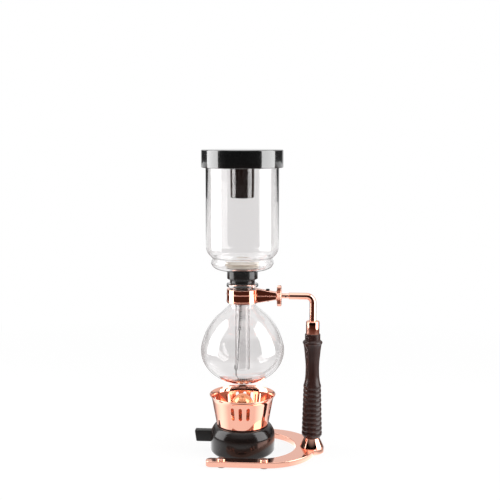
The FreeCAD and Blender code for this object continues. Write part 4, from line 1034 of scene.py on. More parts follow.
class SIPHON_OT_filter(bpy.types.Operator):
    """Build the cloth filter, its spring, hook and bead chain"""
    bl_idname = "siphon.filter"
    bl_label = "Filter"

    def execute(self, context):
        sizes = context.scene.siphon.filter
        glass = context.scene.siphon.glass
        self.cloth(sizes)
        floor = CLAMP_Z + glass.chamber_low + glass.chamber_wall
        stem_middle = glass.stem_radius - glass.stem_wall / 2
        bend = glass.stem_wall / 2 + sizes.hook_play + sizes.hook_wire / 2
        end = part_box("chamber_stem")[0].z + sizes.hook_play
        pull = floor - sizes.bolt_reach - sizes.loop
        lean = math.atan2(stem_middle - bend, pull - end)
        hang = Matrix.Translation((BULB_X, 0, pull)) @ Matrix.Rotation(lean, 4, "Y")
        self.spring(sizes, hang)
        self.hook(sizes, hang, bend, (pull - end) / math.cos(lean))
        self.chain(sizes, glass, -stem_middle, end - bend)
        keep("filter_disc", "filter_bolt")
        return {"FINISHED"}

    def cloth(self, sizes):
        """Round cloth drawn over the disc and gathered under it, with small folds that grow downwards."""
        low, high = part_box("filter_cloth")
        turn = 1.2 * MM
        hem = 0.3 * MM
        radius = sizes.cloth_radius
        floor = low.z + hem
        top = high.z - PLAY
        outline = [(0.0, top), (radius * 0.5, top), (radius * 0.8, top)]
        outline += arc((radius - turn, top - turn), turn, 90, 0, 5)
        outline += [(radius, (floor + top) / 2)]
        outline += arc((radius - turn, floor + turn), turn, 0, -90, 5)
        outline += [(radius * 0.7, floor), (sizes.mouth_radius, floor)]

        def pleat(across, z, turn_angle):
            depth = sizes.pleat_depth * max(0.0, (top - z) / (top - floor))
            unevenness = 2.0 * math.sin(3 * turn_angle)
            return -depth * (0.5 + 0.5 * math.sin(sizes.pleats * turn_angle + unevenness))

        cloth = turned("filter_flannel_pouch", outline, closed=False, wobble=pleat)
        stand_for(cloth, "filter_cloth")
        nap = cloth.modifiers.new("cloth thickness", "SOLIDIFY")
        nap.thickness = sizes.cloth_thickness
        nap.offset = -1.0

    def spring(self, sizes, hang):
        """Helical wire that pulls the filter down, with a short straight end at each side."""
        radius = (sizes.coil - sizes.wire) / 2
        steps = 20
        path = []
        for i in range(sizes.turns * steps + 1):
            t = 2 * math.pi * i / steps
            drop = sizes.wire + sizes.spring_length * i / (sizes.turns * steps)
            path.append(hang @ Vector((radius * math.cos(t), radius * math.sin(t), -drop)))
        path.insert(0, path[0] + (path[0] - path[1]).normalized() * sizes.wire)
        path.append(path[-1] + (path[-1] - path[-2]).normalized() * sizes.wire)
        maker = bmesh.new()
        swept(maker, path, sizes.wire / 2)
        stand_for(solid("wound_spring", maker), "filter_spring")

    def hook(self, sizes, hang, bend, reach):
        """Wire from the spring's end that hooks round the stem's lower edge."""
        eye_low = -sizes.spring_length - 2 * sizes.wire - sizes.loop
        path = [Vector((0, 0, z)) for z in steps_between(eye_low, -reach, 6)]
        for turn in steps_between(0, math.pi, 12)[1:]:
            path.append(Vector((-bend + bend * math.cos(turn), 0, -reach - bend * math.sin(turn))))
        path.append(Vector((-2 * bend, 0, -reach + sizes.hook_leg)))
        maker = bmesh.new()
        swept(maker, [hang @ point for point in path], sizes.hook_wire / 2)
        eye = loop_points((0, 0, eye_low + sizes.loop / 2), sizes.loop / 2)
        swept(maker, [hang @ point for point in eye], sizes.hook_wire / 2, closed=True)
        stand_for(solid("stem_hook", maker), "filter_hook")

    def chain(self, sizes, glass, across, hook_low):
        """Beads that hang from the hook and lie along the bulb's bottom."""
        widest = CLAMP_Z - glass.bulb_drop
        depth = glass.bulb_depth - glass.bulb_wall
        reach = glass.bulb_radius - glass.bulb_wall
        lift = 0.3 * MM
        ring = sizes.hook_wire / 2 + sizes.link / 2 + PLAY
        places = []
        for i in range(sizes.hanging):
            places.append((across, hook_low - ring - sizes.bead / 2 - i * sizes.bead_pitch))
        for i in range(sizes.lying):
            x = across + (i + 1) * sizes.bead_pitch
            floor = widest - depth * math.sqrt(1 - (x / reach) ** 2)
            places.append((x, floor + sizes.bead / 2 + lift))
        maker = bmesh.new()
        eye = loop_points((BULB_X + across, 0, hook_low), ring, 20, upright=False)
        swept(maker, eye, sizes.link / 2, closed=True)
        before = Vector((BULB_X + across, 0, hook_low - ring))
        for x, z in places:
            place = Vector((BULB_X + x, 0, z))
            bmesh.ops.create_uvsphere(maker, u_segments=16, v_segments=10, radius=sizes.bead / 2,
                                      matrix=Matrix.Translation(place))
            swept(maker, [before, place], sizes.link / 2)
            before = place
        stand_for(solid("bead_chain_links", maker), "bead_chain")


class SIPHON_OT_base(bpy.types.Operator):
    """Build the forked base with its feet and screws"""
    bl_idname = "siphon.base"
    bl_label = "Base"

    def execute(self, context):
        sizes = context.scene.siphon.post
        low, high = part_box("base_fork")
        plate = prism("forked_plate", self.outline(sizes), low.z, high.z,
                      lambda u, v, level: (BULB_X + u, v, level), sizes.plate_edge)
        stand_for(plate, "base_fork")
        keep("rubber_feet", "foot_screws")
        return {"FINISHED"}

    def outline(self, sizes):
        """Round the plate, seen from above: two arms, a curved opening, a round end and the post's boss."""
        out = sizes.arm_in + sizes.arm_width
        tip = -sizes.arm_tip
        bend = sizes.opening_end - sizes.arm_in
        post = POST_X - BULB_X
        outer = post + sizes.boss_radius - sizes.boss_proud - out
        points = rounded([
            (outer, -out, 0), (tip, -out, sizes.tip_round), (tip, -sizes.arm_in, sizes.tip_round),
            (bend, -sizes.arm_in, 0), (bend, sizes.arm_in, 0), (tip, sizes.arm_in, sizes.tip_round),
            (tip, out, sizes.tip_round), (outer, out, 0),
        ], 10)
        start = points.index((bend, -sizes.arm_in))
        points[start:start + 2] = arc((bend, 0), sizes.arm_in, -90, 90, 40)
        apart = post - outer
        far = out + sizes.boss_blend
        near = sizes.boss_radius + sizes.boss_blend
        along = (apart ** 2 + far ** 2 - near ** 2) / (2 * apart)
        aside = math.sqrt(far ** 2 - along ** 2)
        plate_turn = math.degrees(math.atan2(aside, along))
        boss_turn = math.degrees(math.atan2(aside, along - apart))
        end = arc((outer, 0), out, 90, plate_turn, 40)
        end += arc((outer + along, aside), sizes.boss_blend, plate_turn + 180, boss_turn + 180, 8)[1:]
        end += arc((post, 0), sizes.boss_radius, boss_turn, 0, 14)[1:]
        return points[1:-1] + end + [(u, -v) for u, v in end[-2::-1]]


class SIPHON_OT_post(bpy.types.Operator):
    """Build the post: foot cone, wooden handle, ferrule and bent rod"""
    bl_idname = "siphon.post"
    bl_label = "Post"

    def execute(self, context):
        sizes = context.scene.siphon.post
        bore = 3.1 * MM
        rim = 0.6 * MM
        edge = 0.3 * MM
        low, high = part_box("foot_cone")
        cone = rounded([
            (bore, low.z, 0), (sizes.cone_low, low.z, edge / 2), (sizes.cone_low, low.z + rim, edge),
            (sizes.cone_top, high.z, edge), (bore, high.z, 0),
        ])
        stand_for(turned("copper_cone", cone, POST_X), "foot_cone")
        stand_for(turned("turned_handle", self.handle(sizes, bore), POST_X), "wood_handle")
        low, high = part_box("ferrule")
        bore = sizes.rod / 2 + PLAY
        edge = 0.4 * MM
        ferrule = rounded([
            (bore, low.z, 0), (sizes.ferrule, low.z, edge), (sizes.ferrule, high.z, sizes.ferrule_edge),
            (bore, high.z, edge),
        ])
        stand_for(turned("copper_ferrule", ferrule, POST_X), "ferrule")
        self.rod(sizes)
        keep("tie_rod", "base_nut", "base_washer")
        return {"FINISHED"}

    def handle(self, sizes, bore):
        """Up the handle: foot, ridged grip, waist, bead and cap."""
        low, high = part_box("wood_handle")
        foot = low.z
        grip = foot + sizes.grip_chamfer
        outline = [(bore, foot), (sizes.grip_foot, foot), (sizes.grip_low, grip)]
        taper = (sizes.grip_high - sizes.grip_low) / sizes.ridges
        steps = 8
        for i in range(sizes.ridges):
            for step in range(1, steps + 1):
                along = i + step / steps
                swell = sizes.ridge_height * math.sin(math.pi * step / steps) ** 0.8
                outline.append((sizes.grip_low + taper * along + swell, grip + sizes.ridge_pitch * along))
        top = outline[-1]
        waist = [top, (sizes.waist, foot + sizes.waist_height), (sizes.flare, foot + sizes.flare_height),
                 (sizes.bead_under, foot + sizes.bead_low)]
        outline += smooth(waist, (-0.25, 1), (0.2, 1), 12)[1:]
        bead = foot + sizes.bead_low
        for t in steps_between(0.0, 1.0, steps)[1:]:
            base = sizes.bead_under + (sizes.cap - sizes.bead_under) * t
            bulge = (sizes.bead - (sizes.bead_under + sizes.cap) / 2) * math.sin(math.pi * t)
            outline.append((base + bulge, bead + sizes.bead_height * t))
        edge = 0.6 * MM
        outline += [(sizes.cap, high.z - edge), (sizes.cap - edge, high.z), (bore, high.z)]
        return outline

    def rod(self, sizes):
        """Rod that stands in the ferrule, bends and runs level to the clamp."""
        low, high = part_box("support_rod")
        edge = 0.4 * MM
        full = sizes.rod / 2
        path = [Vector((POST_X, 0, low.z)), Vector((POST_X, 0, CLAMP_Z - sizes.bend))]
        for x, z in arc((POST_X - sizes.bend, CLAMP_Z - sizes.bend), sizes.bend, 0, 90, 16)[1:]:
            path.append(Vector((x, 0, z)))
        path += [Vector((low.x + edge, 0, CLAMP_Z)), Vector((low.x, 0, CLAMP_Z))]
        radii = [full] * (len(path) - 1) + [full - edge]
        maker = bmesh.new()
        swept(maker, path, radii, SMALL_SEGMENTS)
        stand_for(solid("bent_rod", maker), "support_rod")


class SIPHON_OT_clamp(bpy.types.Operator):
    """Build the neck band, its tails and the thumb nut"""
    bl_idname = "siphon.clamp"
    bl_label = "Clamp"

    def execute(self, context):
        sizes = context.scene.siphon.clamp
        self.band(sizes)
        self.nut(sizes)
        keep("clamp_stud", "clamp_pin", "stop_pin", "clamp_collar")
        return {"FINISHED"}

    def band(self, sizes):
        """Split ring with two ribs, and two folded tails that taper to the thumb nut."""
        top = CLAMP_Z + sizes.height / 2
        low = CLAMP_Z - sizes.height / 2
        inner = 0.3 * MM
        outer = 0.5 * MM
        outline = [(sizes.bore, low + inner), (sizes.bore + inner, low), (sizes.band - outer, low),
                   (sizes.band, low + outer)]
        for part in (sizes.rib_low, sizes.rib_high):
            outline += arc((sizes.band, top - part * sizes.height), sizes.rib, -90, 90, 8)
        outline += [(sizes.band, top - outer), (sizes.band - outer, top), (sizes.bore + inner, top),
                    (sizes.bore, top - inner)]
        gap = math.asin(sizes.slit / 2 / sizes.bore)
        maker = bmesh.new()
        slices = []
        for t in steps_between(gap, 2 * math.pi - gap, SEGMENTS):
            ring = [(BULB_X + r * math.cos(t), r * math.sin(t), z) for r, z in outline]
            slices.append([maker.verts.new(place) for place in ring])
        skin(maker, slices, capped=True)
        for side in (-1, 1):
            self.tail(maker, sizes, side)
        stand_for(flat_faces(solid("copper_band", maker)), "neck_band")

    def tail(self, maker, sizes, side):
        """One folded tail: a channel that faces the other tail across the slit, with a rib along its back."""
        overlap = 1.5 * MM
        start = sizes.band - overlap
        lip = 0.3 * MM
        hollow = 0.4 * MM
        half_slit = sizes.slit / 2
        half_width = sizes.tail_width / 2
        wall = sizes.tail_wall
        rib = [(y, z, 0) for y, z in arc((half_width, 0), sizes.rib, 90, -90, 8)]
        sections = []
        for reach in steps_between(start, sizes.tail_reach, 8):
            along = (reach - sizes.bore) / (sizes.tail_reach - sizes.bore)
            half = (sizes.tail_root + (sizes.tail_end - sizes.tail_root) * along) / 2
            channel = rounded([
                (half_slit, half, lip), (half_width, half, sizes.fold), *rib,
                (half_width, -half, sizes.fold), (half_slit, -half, lip),
                (half_slit, -half + wall, lip), (half_width - wall, -half + wall, hollow),
                (half_width - wall, half - wall, hollow), (half_slit, half - wall, lip),
            ])
            sections.append([maker.verts.new((BULB_X + reach, side * y, CLAMP_Z + z)) for y, z in channel])
        skin(maker, sections, capped=True)

    def nut(self, sizes):
        """Disc with a toothed edge, chamfered on both sides."""
        low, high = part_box("thumb_nut")
        radius = (high.z - low.z) / 2
        bore = 3.55 * MM
        face = radius - sizes.nut_chamfer * 1.6
        rim = [(low.x, bore, 0), (low.x, face, 0), (low.x + sizes.nut_chamfer, radius, 1),
               (high.x - sizes.nut_chamfer, radius, 1), (high.x, face, 0), (high.x, bore, 0)]
        steps_to_a_tooth = 4
        maker = bmesh.new()
        rings = []
        for x, r, toothed in rim:
            ring = []
            for t in round_turns(sizes.teeth * steps_to_a_tooth):
                dip = sizes.tooth * toothed * (0.5 - 0.5 * math.cos(sizes.teeth * t))
                ring.append(maker.verts.new((x, (r - dip) * math.cos(t), CLAMP_Z + (r - dip) * math.sin(t))))
            rings.append(ring)
        skin(maker, rings, closed=True)
        stand_for(solid("knurled_nut", maker), "thumb_nut")


class SIPHON_OT_burner(bpy.types.Operator):
    """Build the spirit burner with its tank, wick and tab"""
    bl_idname = "siphon.burner"
    bl_label = "Burner"
    BULGE = (0.34, 0.60)    # shares of the way over the shoulder, inwards and up, at its fullest

    def execute(self, context):
        sizes = context.scene.siphon.burner
        stand_for(turned("burner_shell", self.casing(sizes)), "burner_casing")
        self.tab(sizes)
        self.wick(sizes)
        keep("burner_floor", "reservoir", "wick_holder", "handle_screw")
        return {"FINISHED"}

    def casing(self, sizes):
        """Up the casing's outside, over its shoulder to the raised ring, and down its inside."""
        low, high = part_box("burner_casing")
        wall = sizes.casing_wall
        top = high.z - sizes.ring_height
        foot = (sizes.casing - sizes.foot_round, low.z + sizes.foot_round)
        ring_edge = 0.3 * MM
        hole_edge = 0.4 * MM

        def shoulder(inward):
            start = (sizes.casing - inward, sizes.shoulder)
            end = (sizes.top - inward, top - inward)
            bulge = [a + (b - a) * part for a, b, part in zip(start, end, self.BULGE)]
            return smooth([start, bulge, end], (0, 1), (-1, 0.12), 10)

        outline = arc(foot, sizes.foot_round, -90, 0, 10) + shoulder(0)
        outline += rounded([
            (sizes.ring, top, 0), (sizes.ring, high.z, ring_edge), (sizes.hole, high.z, hole_edge),
            (sizes.hole, top - wall, 0),
        ])
        return outline + shoulder(wall)[::-1] + arc(foot, sizes.foot_round - wall, 0, -90, 8)

    def tab(self, sizes):
        """Upright tab on the casing's side, shorter along its lower edge."""
        low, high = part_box("burner_handle")
        root = BULB_X - sizes.casing + sizes.casing_wall * 1.2
        outline = rounded([
            (root, low.z, 0), (low.x + sizes.tab_slant, low.z, sizes.tab_edge),
            (low.x, high.z, sizes.tab_edge), (root, high.z, 0),
        ])
        tab = prism("burner_tab", outline, low.y, high.y, lambda u, v, level: (u, level, v), sizes.tab_edge)
        stand_for(tab, "burner_handle")

    def wick(self, sizes):
        """Braided wick with a frayed top."""
        low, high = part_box("wick")
        strands = 8
        lay = 14 * MM
        groove = 0.12 * MM
        fray = 1.2 * MM
        tip = 0.3 * MM
        heights = steps_between(low.z, high.z - fray, 60)
        outline = [(0.0, low.z)] + [(sizes.wick, z) for z in heights]
        outline += [(sizes.wick * 0.8, high.z - tip), (sizes.wick * 0.4, high.z), (0.0, high.z)]

        def braid(radius, z, turn):
            twist = 2 * math.pi * (z - low.z) / lay
            left = math.cos(strands * turn / 2 + twist * 2)
            right = math.cos(strands * turn / 2 - twist * 2)
            return -groove * (1 - max(left, right)) * radius / sizes.wick

        wick = turned("braided_wick", outline, segments=SMALL_SEGMENTS, closed=False, wobble=braid)
        stand_for(wick, "wick")


class SIPHON_OT_windshield(bpy.types.Operator):
    """Build the slotted windshield and the snuffer cap"""
    bl_idname = "siphon.windshield"
    bl_label = "Windshield"
    BELT_BELOW = 3 * MM     # plain sheet that the belt of slots takes in below them
    BELT_ABOVE = 1.4 * MM   # and above them
    CORNER_RUN = 2 * MM     # rounding's end up to the first ring of the wall
    FLARE = (1.4 * MM, 4.1 * MM)    # from the wall's top outwards and up to the flare's middle
    EDGE = 0.22 * MM        # rounding of the sheet's edges
    BELT_STEPS = 8          # steps up the belt, and across the stretch of one slot
    PLAIN_STEPS = 14        # steps across a plain stretch between groups

    def execute(self, context):
        sizes = context.scene.siphon.burner
        shield = self.shield(sizes)
        stand_for(shield, "windshield")
        # the windshield's inner faces and the snuffer take copper reddened as a painted glow of bounced light
        inside = satin_copper_painted_glow()
        shield.data.materials.append(inside)
        low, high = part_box("snuffer_cap")
        wall_top = high.z - sizes.snuffer
        inner = sizes.snuffer - sizes.snuffer_wall
        edge = 0.4 * MM
        outline = arc((0, wall_top), inner, 90, 0, 16)
        outline += rounded([(inner, wall_top, 0), (inner, low.z, edge), (sizes.snuffer, low.z, edge),
                            (sizes.snuffer, wall_top, 0)])[1:-1]
        outline += arc((0, wall_top), sizes.snuffer, 0, 90, 16)
        outline[0] = (0.0, outline[0][1])
        outline[-1] = (0.0, outline[-1][1])
        dome = stand_for(turned("snuffer_dome", outline, closed=False), "snuffer_cap")
        dome.data.materials[0] = inside
        return {"FINISHED"}

    def side(self, sizes):
        """The cup's outside below and above the belt of slots, and a function for its wall between."""
        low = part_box("windshield")[0].z
        lean = (sizes.shield_high - sizes.shield_low) / sizes.shield_wall

        def wall(height):
            return (sizes.shield_low + lean * height, low + height)

        corner = rounded([(sizes.shield_hole, low, 0), (sizes.shield_low, low, sizes.shield_corner),
                          (*wall(sizes.shield_wall), 0)], 5)
        floor = [(sizes.shield_hole, low), ((sizes.shield_hole + sizes.shield_low) / 2, low)] + corner[1:-1]
        belt_low = sizes.slot_low - self.BELT_BELOW
        belt_high = sizes.slot_low + sizes.slot_height + self.BELT_ABOVE
        over_corner = sizes.shield_corner + self.CORNER_RUN
        below = floor + [wall(height) for height in steps_between(over_corner, belt_low, 4)]
        outwards, up = self.FLARE
        turn_out = (sizes.shield_high + outwards, low + sizes.shield_wall + up)
        rim = (sizes.shield_rim, low + sizes.shield_height)
        flare = smooth([wall(sizes.shield_wall), turn_out, rim], (lean, 1), (0.75, 1), 6)
        return below, [wall(belt_high)] + flare, wall

    def shield(self, sizes):
        """Sheet cup: plain rings below and above, and a belt of slots between them."""
        below, above, wall = self.side(sizes)
        maker = bmesh.new()
        places = {}
        whole_turn = round(2 * math.pi, 6)

        def point(turn, across, z):
            key = (round(turn % (2 * math.pi), 6) % whole_turn, round(z, 7), round(across, 7))
            if key not in places:
                place = (BULB_X + across * math.cos(turn), across * math.sin(turn), z)
                places[key] = maker.verts.new(place)
            return places[key]

        def skin_over(columns, rows):
            for first, second in zip(columns, columns[1:]):
                for a, b in zip(rows, rows[1:]):
                    corners = ((first, a), (second, a), (second, b), (first, b))
                    maker.faces.new([point(turn, *row) for turn, row in corners])

        turns = []
        front = -math.pi / 2
        levels = self.belt_levels(below[-1], above[0])
        for group in range(sizes.groups):
            start = front + 2 * math.pi * group / sizes.groups - sizes.slot_step / 2 * sizes.slots
            for i in range(sizes.slots):
                edge = start + sizes.slot_step * i
                columns = steps_between(edge, edge + sizes.slot_step, self.BELT_STEPS)
                self.slot(maker, point, columns, levels, wall, sizes)
                turns += columns[:-1]
            end = start + sizes.slot_step * sizes.slots
            plain = steps_between(end, start + 2 * math.pi / sizes.groups, self.PLAIN_STEPS)
            skin_over(plain, levels)
            turns += plain[:-1]
        for rows in (below, above):
            skin_over(turns + turns[:1], rows)
        cup = solid("slotted_windshield", maker)
        sheet = cup.modifiers.new("sheet thickness", "SOLIDIFY")
        sheet.thickness = sizes.sheet
        sheet.offset = -1.0
        sheet.use_even_offset = True
        sheet.material_offset = 1
        return eased(cup, self.EDGE, steps=2, corner=60)

    def belt_levels(self, low, high):
        return list(zip(*(steps_between(a, b, self.BELT_STEPS) for a, b in zip(low, high))))

    def slot(self, maker, point, columns, levels, wall, sizes):
        """Wall round one slot: rays from the slot's rounded edge out to its own stretch of the belt."""
        frame_points = [(turn, *levels[0]) for turn in columns[:-1]]
        frame_points += [(columns[-1], *level) for level in levels[:-1]]
        frame_points += [(turn, *levels[-1]) for turn in columns[:0:-1]]
        frame_points += [(columns[0], *level) for level in levels[:0:-1]]
        centre = (columns[0] + columns[-1]) / 2
        half = sizes.slot_width / 2
        floor = levels[0][1] - (sizes.slot_low - self.BELT_BELOW)
        slot_low = floor + sizes.slot_low + half
        slot_high = floor + sizes.slot_low + sizes.slot_height - half
        hole = arc((0, slot_low), half, 180, 360, self.BELT_STEPS)[:-1]
        hole += [(half, z) for z in steps_between(slot_low, slot_high, self.BELT_STEPS)[:-1]]
        hole += arc((0, slot_high), half, 0, 180, self.BELT_STEPS)[:-1]
        hole += [(-half, z) for z in steps_between(slot_high, slot_low, self.BELT_STEPS)[:-1]]
        rims = []
        for (x, z), (turn, r, level) in zip(hole, frame_points):
            hole_r = wall(z - floor)[0]
            hole_turn = centre + math.asin(x / hole_r)
            halfway_z = (z + level) / 2
            halfway = point((hole_turn + turn) / 2, wall(halfway_z - floor)[0], halfway_z)
            rims.append((point(hole_turn, hole_r, z), halfway, point(turn, r, level)))
        for a, b in zip(rims, rims[1:] + rims[:1]):
            maker.faces.new((a[0], a[1], b[1], b[0]))
            maker.faces.new((a[1], a[2], b[2], b[1]))


class SIPHON_OT_stage(bpy.types.Operator):
    """Set the floor, the lamps, the backdrop and the camera"""
    bl_idname = "siphon.stage"
    bl_label = "Stage"
    SENSOR = 36.0                           # width of the camera's picture, in millimetres
    FLOOR = (0.86, 0.86, 0.86, 1)
    TINT = (1.0, 0.42, 0.28, 1)             # of the mirrored floor where it is dim, as among copper pieces
    AMBIENT = 0.42                          # soft light from all round
    LAMP_GAP = 2 * MM                       # from the floor up to the side lamps
    FORWARD = 0.1                           # how far the top lamp stands to the front
    # Ramps: start, end and the values there. Floor distances are in metres from the bulb's axis.
    NEAR = (0.45, 0.9, 1.0, 0.10)           # the mirrored floor dims away from the bulb
    FAR = (1.8, 3.0, 1.0, 0.2)              # and once more far out
    BACK = (0.8, 2.0, 0.0, 0.85)            # but is light behind the object
    LEAST = (1.5, 2.0, 0.05, 0.0)           # its least brightness
    PALE = (0.02, 0.4)                      # brightness over which its tint goes
    GRAZING = (0.38, 0.5, 1.0, 0.0)         # slope under which a ray grazes the floor
    CLEAR = (0.11, 0.13)                    # from the base to the clear floor
    STEEP_SIDES = (0.75, 0.97, 1.0, 1.8)    # brightness from the front to the sides, for steep rays
    GRAZING_SIDES = (0.6, 0.95, 0.13, 0.45)     # and for grazing rays
    FLOOR_ONWARD = (-0.4, 0.2)              # on the floor, from in front of the object to behind it
    SHADOW = (0.25, 1.0, 0.9, 1.0)          # how white the floor is to the eye; its shadow shows in the rest
    ONWARD = (-0.3, 0.3)                    # among a ray's directions, from the front to the back
    BEHIND = (-0.3, 0.3, 0.0, 0.85)         # the mirrored backdrop is light behind the object
    ABOVE = (0.08, 0.3, 0.04, 1.0)          # over a dark horizon
    SKIMMING = (0.85, 0.97)                 # which stays light to rays that skim a piece
    CEILING = (0.5, 0.8)                    # and it is light overhead
    REPEATED = (1.0, 3.0, 0.0, 0.9)         # and to rays mirrored again and again

    def execute(self, context):
        sizes = context.scene.siphon.stage
        context.scene.view_settings.view_transform = "Standard"
        self.floor(sizes)
        self.lamp("left_softbox", sizes, sizes.left_turn, sizes.left_width)
        self.lamp("right_softbox", sizes, sizes.right_turn, sizes.right_width)
        self.overhead(sizes)
        self.backdrop(context)
        self.camera(context, sizes)
        return {"FINISHED"}

    def floor(self, sizes):
        """Pale floor that is white to the eye, keeps a soft shadow, and darkens far out in reflections."""
        half = sizes.floor
        corners = [(-half, -half, 0), (half, -half, 0), (half, half, 0), (-half, half, 0)]
        mesh = bpy.data.meshes.new("floor")
        mesh.from_pydata(corners, [], [(0, 1, 2, 3)])
        floor = bpy.data.objects.new("floor", mesh)
        bpy.context.scene.collection.objects.link(floor)
        material = bpy.data.materials.new("pale floor")
        material.use_nodes = True
        tree = material.node_tree
        tree.nodes.clear()
        geometry = add(tree, "ShaderNodeNewGeometry").outputs
        rays = add(tree, "ShaderNodeLightPath").outputs
        place = add(tree, "ShaderNodeVectorMath", operation="SUBTRACT", values={1: (BULB_X, 0, 0)})
        tree.links.new(geometry["Position"], place.inputs[0])
        distance = add(tree, "ShaderNodeVectorMath", operation="LENGTH")
        tree.links.new(place.outputs["Vector"], distance.inputs[0])
        away = distance.outputs["Value"]
        across = axes(tree, place.outputs["Vector"])
        lit = add(tree, "ShaderNodeBsdfDiffuse", values={"Color": self.FLOOR})
        white = add(tree, "ShaderNodeEmission", values={"Color": WHITE, "Strength": 1.0})
        mirrored = add(tree, "ShaderNodeEmission")
        fade = times(tree, ranged(tree, away, *self.NEAR), ranged(tree, away, *self.FAR))
        front = times(tree, fade, self.floor_shade(tree, geometry["Incoming"], across["X"], away))
        bright = largest(tree, front, ranged(tree, across["Y"], *self.BACK))
        least = ranged(tree, away, *self.LEAST)
        tree.links.new(ranged(tree, bright, 0.0, 2.0, least, 2.0), mirrored.inputs["Strength"])
        tint = add(tree, "ShaderNodeMix", data_type="RGBA", values={"A": self.TINT, "B": WHITE})
        tree.links.new(ranged(tree, bright, *self.PALE), tint.inputs["Factor"])
        tree.links.new(tint.outputs["Result"], mirrored.inputs["Color"])
        first = mixed_shaders(tree, rays["Is Glossy Ray"], lit.outputs["BSDF"], mirrored.outputs["Emission"])
        onward = ranged(tree, across["Y"], *self.FLOOR_ONWARD)
        seen = times(tree, eye_rays(tree, rays, onward), ranged(tree, away, *self.SHADOW))
        whole = mixed_shaders(tree, seen, first, white.outputs["Emission"])
        tree.links.new(whole, add(tree, "ShaderNodeOutputMaterial").inputs["Surface"])
        mesh.materials.append(material)

    def floor_shade(self, tree, incoming, across, away):
        """How the mirrored floor varies: brighter to the sides, and dim in front to rays that graze it."""
        aside = computed(tree, "ABSOLUTE", computed(tree, "DIVIDE", across, away))
        shallow = ranged(tree, axes(tree, incoming)["Z"], *self.GRAZING)
        grazing = times(tree, shallow, ranged(tree, away, *self.CLEAR))
        steep_shade = ranged(tree, aside, *self.STEEP_SIDES)
        grazing_shade = ranged(tree, aside, *self.GRAZING_SIDES)
        return ranged(tree, grazing, 0.0, 1.0, steep_shade, grazing_shade)

    def light(self, name, brightness, width, height, place, aim):
        """A flat lamp that shows in reflections, as plain white through glass, and not to the camera."""
        data = bpy.data.lights.new(name, "AREA")
        data.shape = "RECTANGLE"
        data.size = width
        data.size_y = height
        data.energy = brightness * math.pi * width * height
        lamp = bpy.data.objects.new(name, data)
        bpy.context.scene.collection.objects.link(lamp)
        lamp.location = place
        lamp.rotation_euler = (Vector(aim) - Vector(place)).to_track_quat("-Z", "Y").to_euler()
        lamp.visible_camera = False
        data.use_nodes = True
        tree = data.node_tree
        rays = add(tree, "ShaderNodeLightPath").outputs
        through = times(tree, rays["Is Transmission Ray"], no_mirror(tree, rays))
        plain_white = 1.0 / max(brightness, 1.0)
        strength = ranged(tree, through, 0.0, 1.0, 1.0, plain_white)
        tree.links.new(strength, tree.nodes["Emission"].inputs["Strength"])

    def lamp(self, name, sizes, turn, width):
        """Upright softbox at one side, from the floor up."""
        x = BULB_X + sizes.softbox_away * math.sin(turn)
        y = -sizes.softbox_away * math.cos(turn)
        middle_z = sizes.softbox_height / 2 + self.LAMP_GAP
        self.light(name, sizes.softbox, width, sizes.softbox_height, (x, y, middle_z), (BULB_X, 0, middle_z))

    def overhead(self, sizes):
        """Level softbox over the object, a little to the front."""
        width = sizes.overhead_width
        place = (0, -self.FORWARD, sizes.overhead_height)
        self.light("overhead_softbox", sizes.overhead, width, width, place, (0, 0, 0))

    def backdrop(self, context):
        """White to the eye and through glass, even for soft light, and dark to the front in reflections."""
        world = bpy.data.worlds.new("studio")
        context.scene.world = world
        world.use_nodes = True
        tree = world.node_tree
        tree.nodes.clear()
        way = axes(tree, add(tree, "ShaderNodeTexCoord").outputs["Generated"])
        rays = add(tree, "ShaderNodeLightPath").outputs
        soft = add(tree, "ShaderNodeBackground", values={"Color": WHITE, "Strength": self.AMBIENT})
        mirrored = add(tree, "ShaderNodeBackground", values={"Color": WHITE})
        white = add(tree, "ShaderNodeBackground", values={"Color": WHITE, "Strength": 1.0})
        lighter = largest(tree, ranged(tree, way["Z"], *self.ABOVE), ranged(tree, way["Y"], *self.SKIMMING),
                          rays["Is Transmission Ray"])
        behind = times(tree, ranged(tree, way["Y"], *self.BEHIND), lighter)
        ceiling = ranged(tree, way["Z"], *self.CEILING)
        repeated = ranged(tree, rays["Glossy Depth"], *self.REPEATED)
        tree.links.new(largest(tree, behind, ceiling, repeated), mirrored.inputs["Strength"])
        first = mixed_shaders(tree, rays["Is Glossy Ray"], soft.outputs["Background"],
                              mirrored.outputs["Background"])
        seen = eye_rays(tree, rays, ranged(tree, way["Y"], *self.ONWARD))
        whole = mixed_shaders(tree, seen, first, white.outputs["Background"])
        tree.links.new(whole, add(tree, "ShaderNodeOutputWorld").inputs["Surface"])

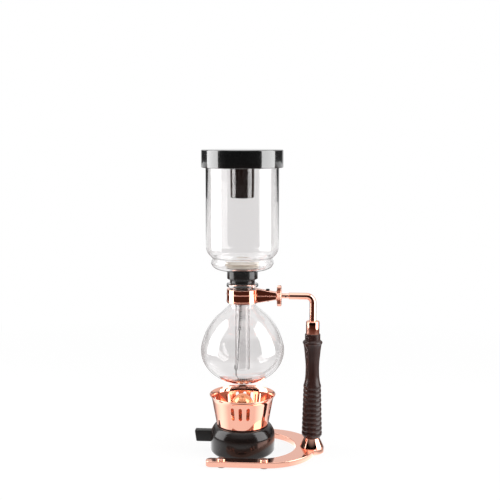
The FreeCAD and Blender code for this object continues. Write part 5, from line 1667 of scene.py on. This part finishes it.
    def camera(self, context, sizes):
        data = bpy.data.cameras.new("camera")
        data.lens = sizes.lens
        data.sensor_width = self.SENSOR
        camera = bpy.data.objects.new("camera", data)
        context.scene.collection.objects.link(camera)
        turn = sizes.azimuth
        x = BULB_X + sizes.distance * math.sin(turn) + sizes.aside * math.cos(turn)
        y = -sizes.distance * math.cos(turn) + sizes.aside * math.sin(turn)
        camera.location = (x, y, sizes.height)
        level = math.cos(sizes.pitch)
        way = Vector((-math.sin(turn) * level, math.cos(turn) * level, -math.sin(sizes.pitch)))
        camera.rotation_euler = way.to_track_quat("-Z", "Y").to_euler()
        context.scene.camera = camera


class SIPHON_PT_panel(bpy.types.Panel):
    """Lists the siphon's pieces, its sizes and its colours"""
    bl_idname = "SIPHON_PT_panel"
    bl_label = "Siphon coffee maker"
    bl_space_type = "VIEW_3D"
    bl_region_type = "UI"
    bl_category = "Siphon"

    def draw(self, context):
        layout = self.layout
        for operator in OPERATORS:
            layout.operator(operator.bl_idname)
        settings = context.scene.siphon
        for part in SiphonSettings.__annotations__:
            box = layout.box()
            box.label(text=part.capitalize())
            group = getattr(settings, part)
            for name in group.__annotations__:
                box.prop(group, name)


OPERATORS = (
    SIPHON_OT_stage, SIPHON_OT_glass, SIPHON_OT_lid, SIPHON_OT_stopper, SIPHON_OT_filter, SIPHON_OT_base,
    SIPHON_OT_post, SIPHON_OT_clamp, SIPHON_OT_burner, SIPHON_OT_windshield,
)
GROUPS = (
    SiphonGlass, SiphonLid, SiphonFilter, SiphonPost, SiphonClamp, SiphonBurner, SiphonFinish, SiphonStage,
    SiphonSettings,
)


def register():
    for part in GROUPS + OPERATORS + (SIPHON_PT_panel,):
        bpy.utils.register_class(part)
    bpy.types.Scene.siphon = PointerProperty(type=SiphonSettings)


def unregister():
    del bpy.types.Scene.siphon
    for part in reversed(GROUPS + OPERATORS + (SIPHON_PT_panel,)):
        bpy.utils.unregister_class(part)


def main():
    register()
    bpy.ops.siphon.stage()
    bpy.ops.siphon.glass()
    bpy.ops.siphon.lid()
    bpy.ops.siphon.stopper()
    bpy.ops.siphon.filter()
    bpy.ops.siphon.base()
    bpy.ops.siphon.post()
    bpy.ops.siphon.clamp()
    bpy.ops.siphon.burner()
    bpy.ops.siphon.windshield()


if __name__ == "__main__":
    main()
